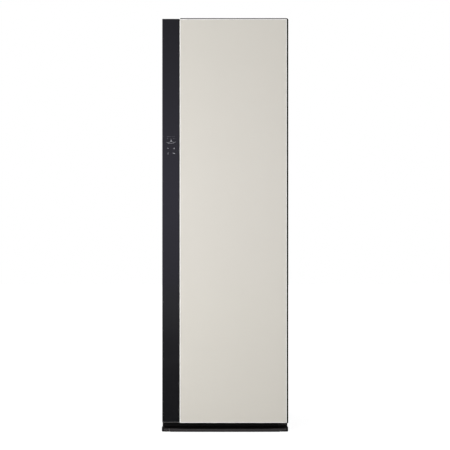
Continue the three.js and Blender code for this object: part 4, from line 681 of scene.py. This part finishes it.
def hanger_mark():
    """A clothes hanger with a hook, a neck, two shoulders and a bar."""
    hook = arc(u=-256, v=1385.6, radius=2.6, start=-60, end=190, steps=14)
    neck = [(-255.6, 1381.4), (-255.6, 1376.8)]
    shoulders = [(-278, 1375), (-273, 1371.8), (-268, 1371.8), (-257.6, 1377.6), (-253.4, 1377.6),
                 (-243, 1372), (-238, 1373.6), (-232.6, 1375.6)]
    bar = [(-273.4, 1369.6), (-266, 1368.4), (-248, 1368.4), (-240.4, 1370.4)]
    neck_width = LINE * 4.4
    outline = [stroke(hook, LINE), stroke(shoulders, BOLD), stroke(bar, BOLD)]
    printed("hanger_mark", [stroke(neck, neck_width)], LIT_PRINT)
    printed("hanger_mark_low", outline, MID_PRINT)


def steam_mark():
    """Two waves, one above the other."""
    left = -275.5
    apart = 1.3
    height = 0.6
    turn = 1.2
    count = 9
    waves = [[(left + i, MIDDLE_ROW + lift + math.sin(i * turn) * height) for i in range(count)]
             for lift in (-apart, apart)]
    printed("steam_mark", [stroke(wave, LINE) for wave in waves], MID_PRINT)


def dry_mark():
    """Three bars, the middle one longer."""
    left = -246.2
    right = -237.2
    apart = 1.8
    short_by = 1.5
    rows = ((MIDDLE_ROW + apart, short_by), (MIDDLE_ROW, 0), (MIDDLE_ROW - apart, short_by))
    bars = [stroke([(left + inset, z), (right - inset, z)], BOLD) for z, inset in rows]
    printed("dry_mark", bars, MID_PRINT)


def power_mark():
    """An open ring with an upright line in its gap."""
    x = -270.6
    z = 1319.8
    radius = 3.4
    ring = arc(x, z, radius, start=125, end=415, steps=24)
    line = [(x, 1324), (x, 1320)]
    width = LINE * 0.8
    printed("power_mark", [stroke(ring, width), stroke(line, width)], MID_PRINT)


def start_mark():
    """A triangle that points right, and two upright bars."""
    left = -245.4
    triangle = [(left, 1319.2), (left, 1322.4), (-242.6, 1320.8), (left, 1319.2)]
    bars = [[(x, 1318.8), (x, 1322.8)] for x in (-241, -239)]
    bar_width = LINE * 1.6
    triangle_width = LINE * 1.5
    strokes = [stroke(triangle, triangle_width)] + [stroke(bar, bar_width) for bar in bars]
    printed("start_mark", strokes, LIT_PRINT)


glass_panel()
panel_frame()
softened("control_strip", width=0.25, name="touch_strip")
dash_rows()
hanger_mark()
steam_mark()
dry_mark()
power_mark()
start_mark()
strip_trim()


# Base

STAND_BOW = 3
STAND_SETBACK = 0.3
STAND_FRONT = span("decor_frame")[1][0] + STAND_SETBACK
STAND_CORNER = 12
STAND_BOTTOM = 0.1
STAND_SKIRT = 5
STAND_END_TOP = 15.4
STAND_SEAM = 262
STAND_GAP = 0.6
STAND_LIFT = 0.8
STAND_INSET = 0.7


def stand_front(at):
    """Where the stand's bowed front is, at an x."""
    x = span("base_stand")[0]
    share = (at - x[0]) / (x[1] - x[0])
    return STAND_FRONT + STAND_BOW * (1 - 4 * share * (1 - share))


def stand_outline(left, right):
    """Plan of a stretch of the stand between two x, with the bowed front."""
    corner = STAND_CORNER
    steps = 24
    x, y, _ = span("base_stand")

    def front(at):
        return stand_front(at) + STAND_INSET

    points = [(right, y[1]), (left, y[1])]
    start = left
    if left == x[0]:
        start = left + corner
        points += arc(start, front(start) + corner, corner, 180, 270, steps=8)
    end = right - corner if right == x[1] else right
    stations = [start + (end - start) * i / steps for i in range(steps + 1)]
    points += [(at, front(at)) for at in stations]
    if right == x[1]:
        points += arc(end, front(end) + corner, corner, 270, 360, steps=8)
    return points


def front_band(left, right, low, rise):
    """A painted band on the stand's front; rise gives its top at an x."""
    depth = 2.5
    soft = 0.3
    steps = 32
    rings = []
    for i in range(steps + 1):
        at = left + (right - left) * i / steps
        face = stand_front(at)
        top = rise(at)
        rings.append([(at, face + depth, low), (at, face + soft, low), (at, face, low + soft),
                      (at, face, top - soft), (at, face + soft, top), (at, face + depth, top)])
    return lofted(rings)


def stand_bodies():
    """The stand's three stretches, the outer two lifted a little, painted near black as painted shade
    on their tops and their low skirt.
    """
    rim = 0.3
    foot = 21.5
    foot_x = 236
    foot_y = -198
    inner = STAND_SEAM - STAND_GAP
    outer = STAND_SEAM + STAND_GAP
    x, _, z = span("base_stand")
    holes = [circle(side, foot_y, foot) for side in (-foot_x, foot_x)]
    middle = plate([stand_outline(-inner, inner)] + holes, "z", STAND_BOTTOM, z[1], rim)
    thing = piece("stand_middle", middle, "cabinet", "painted_steel", PLINTH_PAINTED_SHADE)
    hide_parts("base_stand")
    for name, ends in (("stand_end_left", (x[0], -outer)), ("stand_end_right", (outer, x[1]))):
        end = plate([stand_outline(*ends)], "z", STAND_BOTTOM + STAND_LIFT, z[1], rim)
        piece(name, end, "cabinet", "painted_steel", PLINTH_PAINTED_SHADE)


def stand_bands():
    """The painted band in front of each stretch; the middle one rises to meet the outer two."""
    cap = 9
    middle_top = 13.9
    middle_rise = 1.7
    rise_from = 190
    inner = STAND_SEAM - STAND_GAP
    outer = STAND_SEAM + STAND_GAP
    x = span("base_stand")[0]
    low = STAND_BOTTOM + STAND_SKIRT

    def rise(at):
        share = min(1, max(0, (abs(at) - rise_from) / (STAND_SEAM - rise_from)))
        return middle_top + middle_rise * share * share * (3 - 2 * share)

    band = front_band(-inner, inner, low, rise)
    piece("stand_band_middle", band, "cabinet", "painted_steel", BAND_PAINT)
    for name, ends in (("stand_band_left", (x[0] + cap, -outer)),
                       ("stand_band_right", (outer, x[1] - cap))):
        band = front_band(*ends, low + STAND_LIFT, lambda at: STAND_END_TOP)
        piece(name, band, "cabinet", "painted_steel", BAND_PAINT)


def stand_caps():
    """Rounded caps on the stand's two ends, a little taller than the painted band, painted near black
    as painted shade on the corners.
    """
    corner = STAND_CORNER
    depth = 16
    top = 22.4
    soft = 2.5
    x = span("base_stand")[0]
    for name, outer, way, turn in (("stand_cap_left", x[0], 1, 180),
                                   ("stand_cap_right", x[1], -1, 270)):
        inner = outer + way * corner
        front = stand_front(inner) + STAND_INSET
        bend = arc(inner, front + corner, corner, turn, turn + 90, steps=8)
        back = [(inner, front + depth), (outer, front + depth)][::way]
        cap = plate([bend + back], "z", STAND_BOTTOM + STAND_LIFT, top, soft, steps=4)
        piece(name, cap, "cabinet", "painted_steel", PLINTH_PAINTED_SHADE)


def joint_highlight():
    """A painted highlight at the end of the left band, next to the middle one."""
    width = 3.4
    clear = 0.1
    proud = 0.15
    left = -STAND_SEAM - width
    right = -STAND_SEAM - STAND_GAP - clear
    low = STAND_BOTTOM + STAND_SKIRT + STAND_LIFT
    band = front_band(left, right, low, lambda at: STAND_END_TOP + clear)
    piece("stand_joint_highlight_left", moved(band, y=-proud), "cabinet", "painted_steel", JOINT_HIGHLIGHT_PAINT)


def plinth():
    """The pan's front wall with its side flanges, which stand a little proud of its sides. The pan and
    the wall are painted near black as painted shade.
    """
    proud = 1.3
    bottom_gap = 0.4
    top = 41
    corner = 0.6
    depth = 6
    skin = 0.25
    rim = 0.2
    x, y, z = span("base_pan")
    face = y[0] - skin
    # Painted shade: the pan and its front skin are near black for the shade under the door.
    softened("base_pan", width=1, material=PLINTH_PAINTED_SHADE)
    outline = rounded_rect((x[0] - proud, x[1] + proud), (z[0] + bottom_gap, top), corner)
    wall = plate([outline], "y", face, face + depth, rim)
    piece("plinth_shade_skin", wall, "cabinet", SLOT_OF["base_pan"], PLINTH_PAINTED_SHADE)


stand_bodies()
stand_bands()
stand_caps()
joint_highlight()
plinth()

# How wide each node's edges are rounded.
SOFT_EDGES = {
    "side_panel_left": 0.5, "side_panel_right": 0.5, "top_cover": 0.5, "rear_cover": 0.4,
    "front_bezel": 1.5, "liner_left": 1.2, "liner_right": 1.2, "liner_back": 1.3, "liner_ceiling": 0.8,
    "liner_floor": 0.7, "ceiling_lamp": 1.5, "lint_filter": 0.6, "aroma_cartridge": 0.8, "shelf": 1.6,
    "tank_bay": 1, "supply_tank": 0.9, "drain_tank": 0.9, "steam_nozzle": 0.6, "hanger_bar": 1,
    "hinge_bracket_top": 0.6, "hinge_bracket_bottom": 0.6, "hinge_cover": 1.2, "door_side_left": 0.5,
    "door_side_right": 0.5, "door_cap_top": 0.8, "door_cap_bottom": 0.8, "door_liner": 0.8,
    "door_wall_ring": 2.5, "press_board": 0.8, "press_cover": 1.2, "trouser_hook": 1, "hem_clip": 1,
}
for node, width in SOFT_EDGES.items():
    softened(node, width)


# Details inside

# Half of the door seal in section: its half width, and its height over the groove's floor.
SEAL_BASE = ((4, 0), (4, 1), (2.4, 1.5), (3.4, 2.3), (7.4, 2.8), (8, 3.7))

# The rest of that half: its half width, and its height over the bulb's face.
SEAL_FACE = ((7.6, -0.5), (6, 0))


def gasket():
    """Magnetic door seal: a foot in the panel's groove, a thin neck and a wide soft bulb."""
    half = 8
    corner = 9
    bulb_angle = 60
    x, y, z = span("door_gasket")
    base, face = y
    side = [(out, base + up) for out, up in SEAL_BASE] + [(out, face + up) for out, up in SEAL_FACE]
    profile = side + [(-out, along) for out, along in reversed(side)]
    mesh = moulding((x[0] + half, x[1] - half), (z[0] + half, z[1] - half), corner, profile, "y")
    thing = piece("gasket_profile", mesh, "door", "gasket_rubber", angle=bulb_angle)
    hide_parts("door_gasket")


def cove(corner, radius, axis, ends):
    """A concave fillet in an inside corner; the corner is given with the way into the room."""
    (u, way_u), (v, way_v) = corner
    rim = 0.01
    steps = 8
    turns = [math.pi / 2 * i / steps for i in range(steps + 1)]
    bend = [(u + way_u * radius * (1 - math.cos(turn)), v + way_v * radius * (1 - math.sin(turn)))
            for turn in turns]
    outline = [(u, v)] + bend[::-1]
    area = sum(a[0] * b[1] - b[0] * a[1] for a, b in zip(outline, outline[1:] + outline[:1]))
    return plate([outline if area > 0 else outline[::-1]], axis, *ends, rim, steps=0)


def liner_coves(side, floor, ceiling):
    """Coves up the back corners and along the floor and the ceiling."""
    sheet = 3
    upright_radius = 15
    level_radius = 9
    front = span("liner_left")[1][0]
    back = span("liner_back")[1][1] - sheet
    coves = [cove(((x, -math.copysign(1, x)), (back, -1)), upright_radius, "z", (floor, ceiling))
             for x in (side, -side)]
    for x in (side, -side):
        way = -math.copysign(1, x)
        coves += [cove(((x, way), (floor, 1)), level_radius, "y", (front, back)),
                  cove(((x, way), (ceiling, -1)), level_radius, "y", (front, back))]
    piece("liner_coves", joined(*coves), "cabinet", "cabin_plastic")


def back_beads():
    """Nine upright beads pressed in the back wall."""
    half = 3
    pitch = 42
    height = (745, 1685)
    proud = 1.3
    sunk = 0.4
    rim = 0.8
    field = span("liner_back")[1][0]
    beads = []
    for x in range(-4 * pitch, 5 * pitch, pitch):
        outline = rounded_rect((x - half, x + half), height, half)
        beads.append(plate([outline], "y", field - proud, field + sunk, rim, steps=3))
    piece("back_beads", joined(*beads), "cabinet", "cabin_plastic")


def lamp_rim(ceiling):
    """A bright bezel round the ceiling lamp."""
    inner = 0.2
    lip_inner = 1
    lip_outer = 2.4
    outer = 3.4
    shoulder = 1
    lip = 0.4
    sunk = 0.2
    play = 0.1
    x, y, z = span("ceiling_lamp")
    rim = [(inner, ceiling - sunk), (inner, z[0] + shoulder), (lip_inner, z[0] + lip),
           (lip_outer, z[0] + shoulder), (outer, ceiling - sunk)]
    mesh = moulding(x, y, (y[1] - y[0]) / 2 - play, rim, "z")
    piece("lamp_rim", mesh, "cabinet", "bright_steel")


def air_sensor(wall):
    """A round grille with six holes on the right wall."""
    y = 110
    z = 1480
    radius = 12
    hole = 1.3
    hole_circle = 5
    proud = 3.4
    sunk = 0.2
    rim = 0.9
    centres = circle(y, z, hole_circle, steps=6)
    holes = [circle(*centre, hole, steps=12) for centre in centres]
    disc = plate([circle(y, z, radius, steps=40)] + holes, "x", wall - proud, wall + sunk, rim, steps=3)
    piece("air_sensor", disc, "cabinet", "grey_plastic")


def cavity_details():
    """Coves, beads, the lamp's rim and the air sensor."""
    sheet = 3
    side = span("liner_left")[0][0] + sheet
    floor = span("liner_floor")[2][1]
    ceiling = span("liner_ceiling")[2][0]
    liner_coves(side, floor, ceiling)
    back_beads()
    lamp_rim(ceiling)
    air_sensor(-side)


def tank_window(tank, middle, low, high):
    """A clear level window with round ends."""
    half = 5
    proud = 0.9
    sunk = 0.3
    rim = 0.5
    face = span(tank)[1][0]
    outline = rounded_rect((middle - half, middle + half), (low, high), half)
    window = plate([outline], "y", face - proud, face + sunk, rim)
    piece(tank + "_window", window, BODY_OF[tank], "tank_plastic", TANK_WINDOW)


def tank_ticks(tank, left, low, high):
    """Two short ticks and a long one beside the window."""
    short = 5
    long = 9
    end_gap = 12
    half_way = 53
    half = 0.6
    proud = 0.35
    sunk = 0.2
    rim = 0.1
    face = span(tank)[1][0]
    ticks = []
    for at, length in ((low + end_gap, short), (low + half_way, short), (high - end_gap, long)):
        outline = rounded_rect((left, left + length), (at - half, at + half), half / 2)
        ticks.append(plate([outline], "y", face - proud, face + sunk, rim, steps=1))
    piece(tank + "_ticks", joined(*ticks), BODY_OF[tank], "tank_plastic", LIT_PRINT)


def tank_details():
    """A level window with ticks on the front of each tank."""
    inset = 24
    low_end = 22
    high_end = 128
    tick_gap = 8
    for tank in ("supply_tank", "drain_tank"):
        x, _, z = span(tank)
        middle = x[0] + inset
        low = z[0] + low_end
        high = z[0] + high_end
        tank_window(tank, middle, low, high)
        tank_ticks(tank, middle + tick_gap, low, high)


# Details behind and below

REAR_FACE = 288
REAR_INLET = (220, 0, 100)

# A louvre's hood in section: how far it stands out, and its height.
HOOD = ((-0.3, 7.6), (-0.3, 6.6), (1.6, 5.8), (2.4, 4), (2.6, 1), (3.4, 1), (3.2, 4.4), (2, 6.8))

# A pressed bead in section: how far outside its inner edge, and how far it stands out.
BEAD = ((0, -0.2), (0.6, 0.8), (2, 1.4), (4, 1.4), (5.4, 0.8), (6, -0.2))

# The grommet in section: its radius, and how far it stands out.
GROMMET = ((7.2, 0), (7.2, 4.6), (8, 5.4), (9.6, 5.4), (10.4, 4.6), (10.4, 4.2), (9, 4.1), (9, 0),
           (7.2, 0))

# A foot's rubber pad in section: its radius and its height.
FOOT_PAD = ((0, 0), (18.6, 0), (19.6, 0.8), (20, 2.2), (20, 5.6), (19.2, 7), (17, 8), (13.4, 11),
            (12, 12), (0, 12))

# The plug of the hinge cover in section: its radius, and its height over the cover.
COVER_PLUG = ((0, 1), (5.4, 1), (6.2, 0.6), (6.4, -0.2), (0, -0.2))


def screws(name, places, face, body, radius=3.8):
    """Pan-head screws with a cross slot, standing on a face that looks back."""
    height = 1.4
    slot_floor = 0.4
    sunk = 0.2
    rim = 0.45
    floor_rim = 0.05
    slot_reach = 0.55 * radius
    slot_half = 0.12 * radius
    core = 0.8 * radius
    heads = []
    for x, z in places:
        outline = circle(x, z, radius, steps=24)
        slot = cross(x, z, slot_reach, slot_half)
        inside = circle(x, z, core, steps=16)
        heads += [plate([outline, slot], "y", face - sunk, face + height, rim, steps=3),
                  plate([inside], "y", face - sunk, face + slot_floor, floor_rim, steps=0)]
    piece(name, joined(*heads), body, "bright_steel")


def rear_screws():
    """Screws round the back sheet."""
    edge = 289.5
    heights = (70, 380, 690, 1000, 1310, 1620, 1928)
    column = 150
    top_row = 1930
    bottom_row = 60
    places = [(x, z) for x in (-edge, edge) for z in heights]
    places += [(x, z) for z in (top_row, bottom_row) for x in (-column, 0, column)]
    screws("rear_screws", places, REAR_FACE, "cabinet")


def rear_louvres():
    """Pressed hoods over the slots of the back sheet."""
    column = 150
    half = 76
    first = 180
    pitch = 16
    rows = 5
    rim = 0.15
    hoods = []
    for x in (-column, column):
        for row in range(rows):
            section = [(REAR_FACE + out, first + pitch * row + up) for out, up in HOOD]
            hoods.append(plate([section], "x", x - half, x + half, rim, steps=1))
    piece("rear_louvres", joined(*hoods), "cabinet", "painted_steel")


def inlet_grommet():
    """A rubber grommet in the cable inlet."""
    profile = [(radius, REAR_FACE + out) for radius, out in GROMMET]
    grommet = lathe(profile, "y", REAR_INLET, steps=32)
    piece("inlet_grommet", grommet, "cabinet", "gasket_rubber")


def rear_beads():
    """Two large pressed frames that stiffen the back sheet."""
    half = 235
    corner = 24
    lower = (330, 960)
    upper = (1010, 1700)
    bead = [(out, REAR_FACE + up) for out, up in BEAD]
    for name, reach in (("rear_bead_low", lower), ("rear_bead_high", upper)):
        piece(name, moulding((-half, half), reach, corner, bead, "y"), "cabinet", "painted_steel")


def panel_screws():
    """Screws at the inner panel's rim."""
    edge = 284.5
    heights = (90, 560, 1030, 1500, 1900)
    radius = 3
    places = [(x, z) for x in (-edge, edge) for z in heights]
    screws("panel_screws", places, span("door_liner")[1][1], "door", radius)


def foot_stem(top):
    """The threaded stem in section, from the pad to its top."""
    pad_top = 12
    thread_low = 13
    end_gap = 0.5
    pitch = 1.5
    core = 5.2
    crest = 6
    chamfer = 0.4
    stem = [(0, pad_top)]
    for i in range(int((top - thread_low - end_gap) / pitch)):
        stem += [(core, thread_low + i * pitch), (crest, thread_low + (i + 0.5) * pitch)]
    return stem + [(core, top - chamfer), (0, top)]


def feet():
    """Levelling feet: a ribbed rubber pad, a six-sided collar and the threaded stem."""
    collar_radius = 12
    collar_low = 11.8
    collar_high = 14.4
    rim = 0.4
    for node in [name for name in frame["nodes"] if name.startswith("levelling_foot")]:
        x, y, z = span(node)
        u = sum(x) / 2
        v = sum(y) / 2
        pad = lathe(FOOT_PAD, "z", (u, v, 0), steps=48)
        collar = plate([circle(u, v, collar_radius, steps=6)], "z", collar_low, collar_high, rim)
        stem = lathe(foot_stem(z[1]), "z", (u, v, 0), steps=24)
        thing = piece(node + "_turned", joined(pad, collar, stem), BODY_OF[node], "black_plastic")
        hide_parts(node)


def hinge_cover_plug():
    """A plug over the fixing screw of the hinge cover."""
    inset = 26
    x, y, z = span("hinge_cover")
    plug = lathe(COVER_PLUG, "z", (sum(x) / 2, y[1] - inset, z[1]), steps=32)
    piece("hinge_cover_plug", plug, "cabinet", "black_plastic")


gasket()
cavity_details()
rear_screws()
rear_louvres()
inlet_grommet()
rear_beads()
panel_screws()
tank_details()
feet()
hinge_cover_plug()

bpy.context.scene.view_settings.view_transform = "Standard"
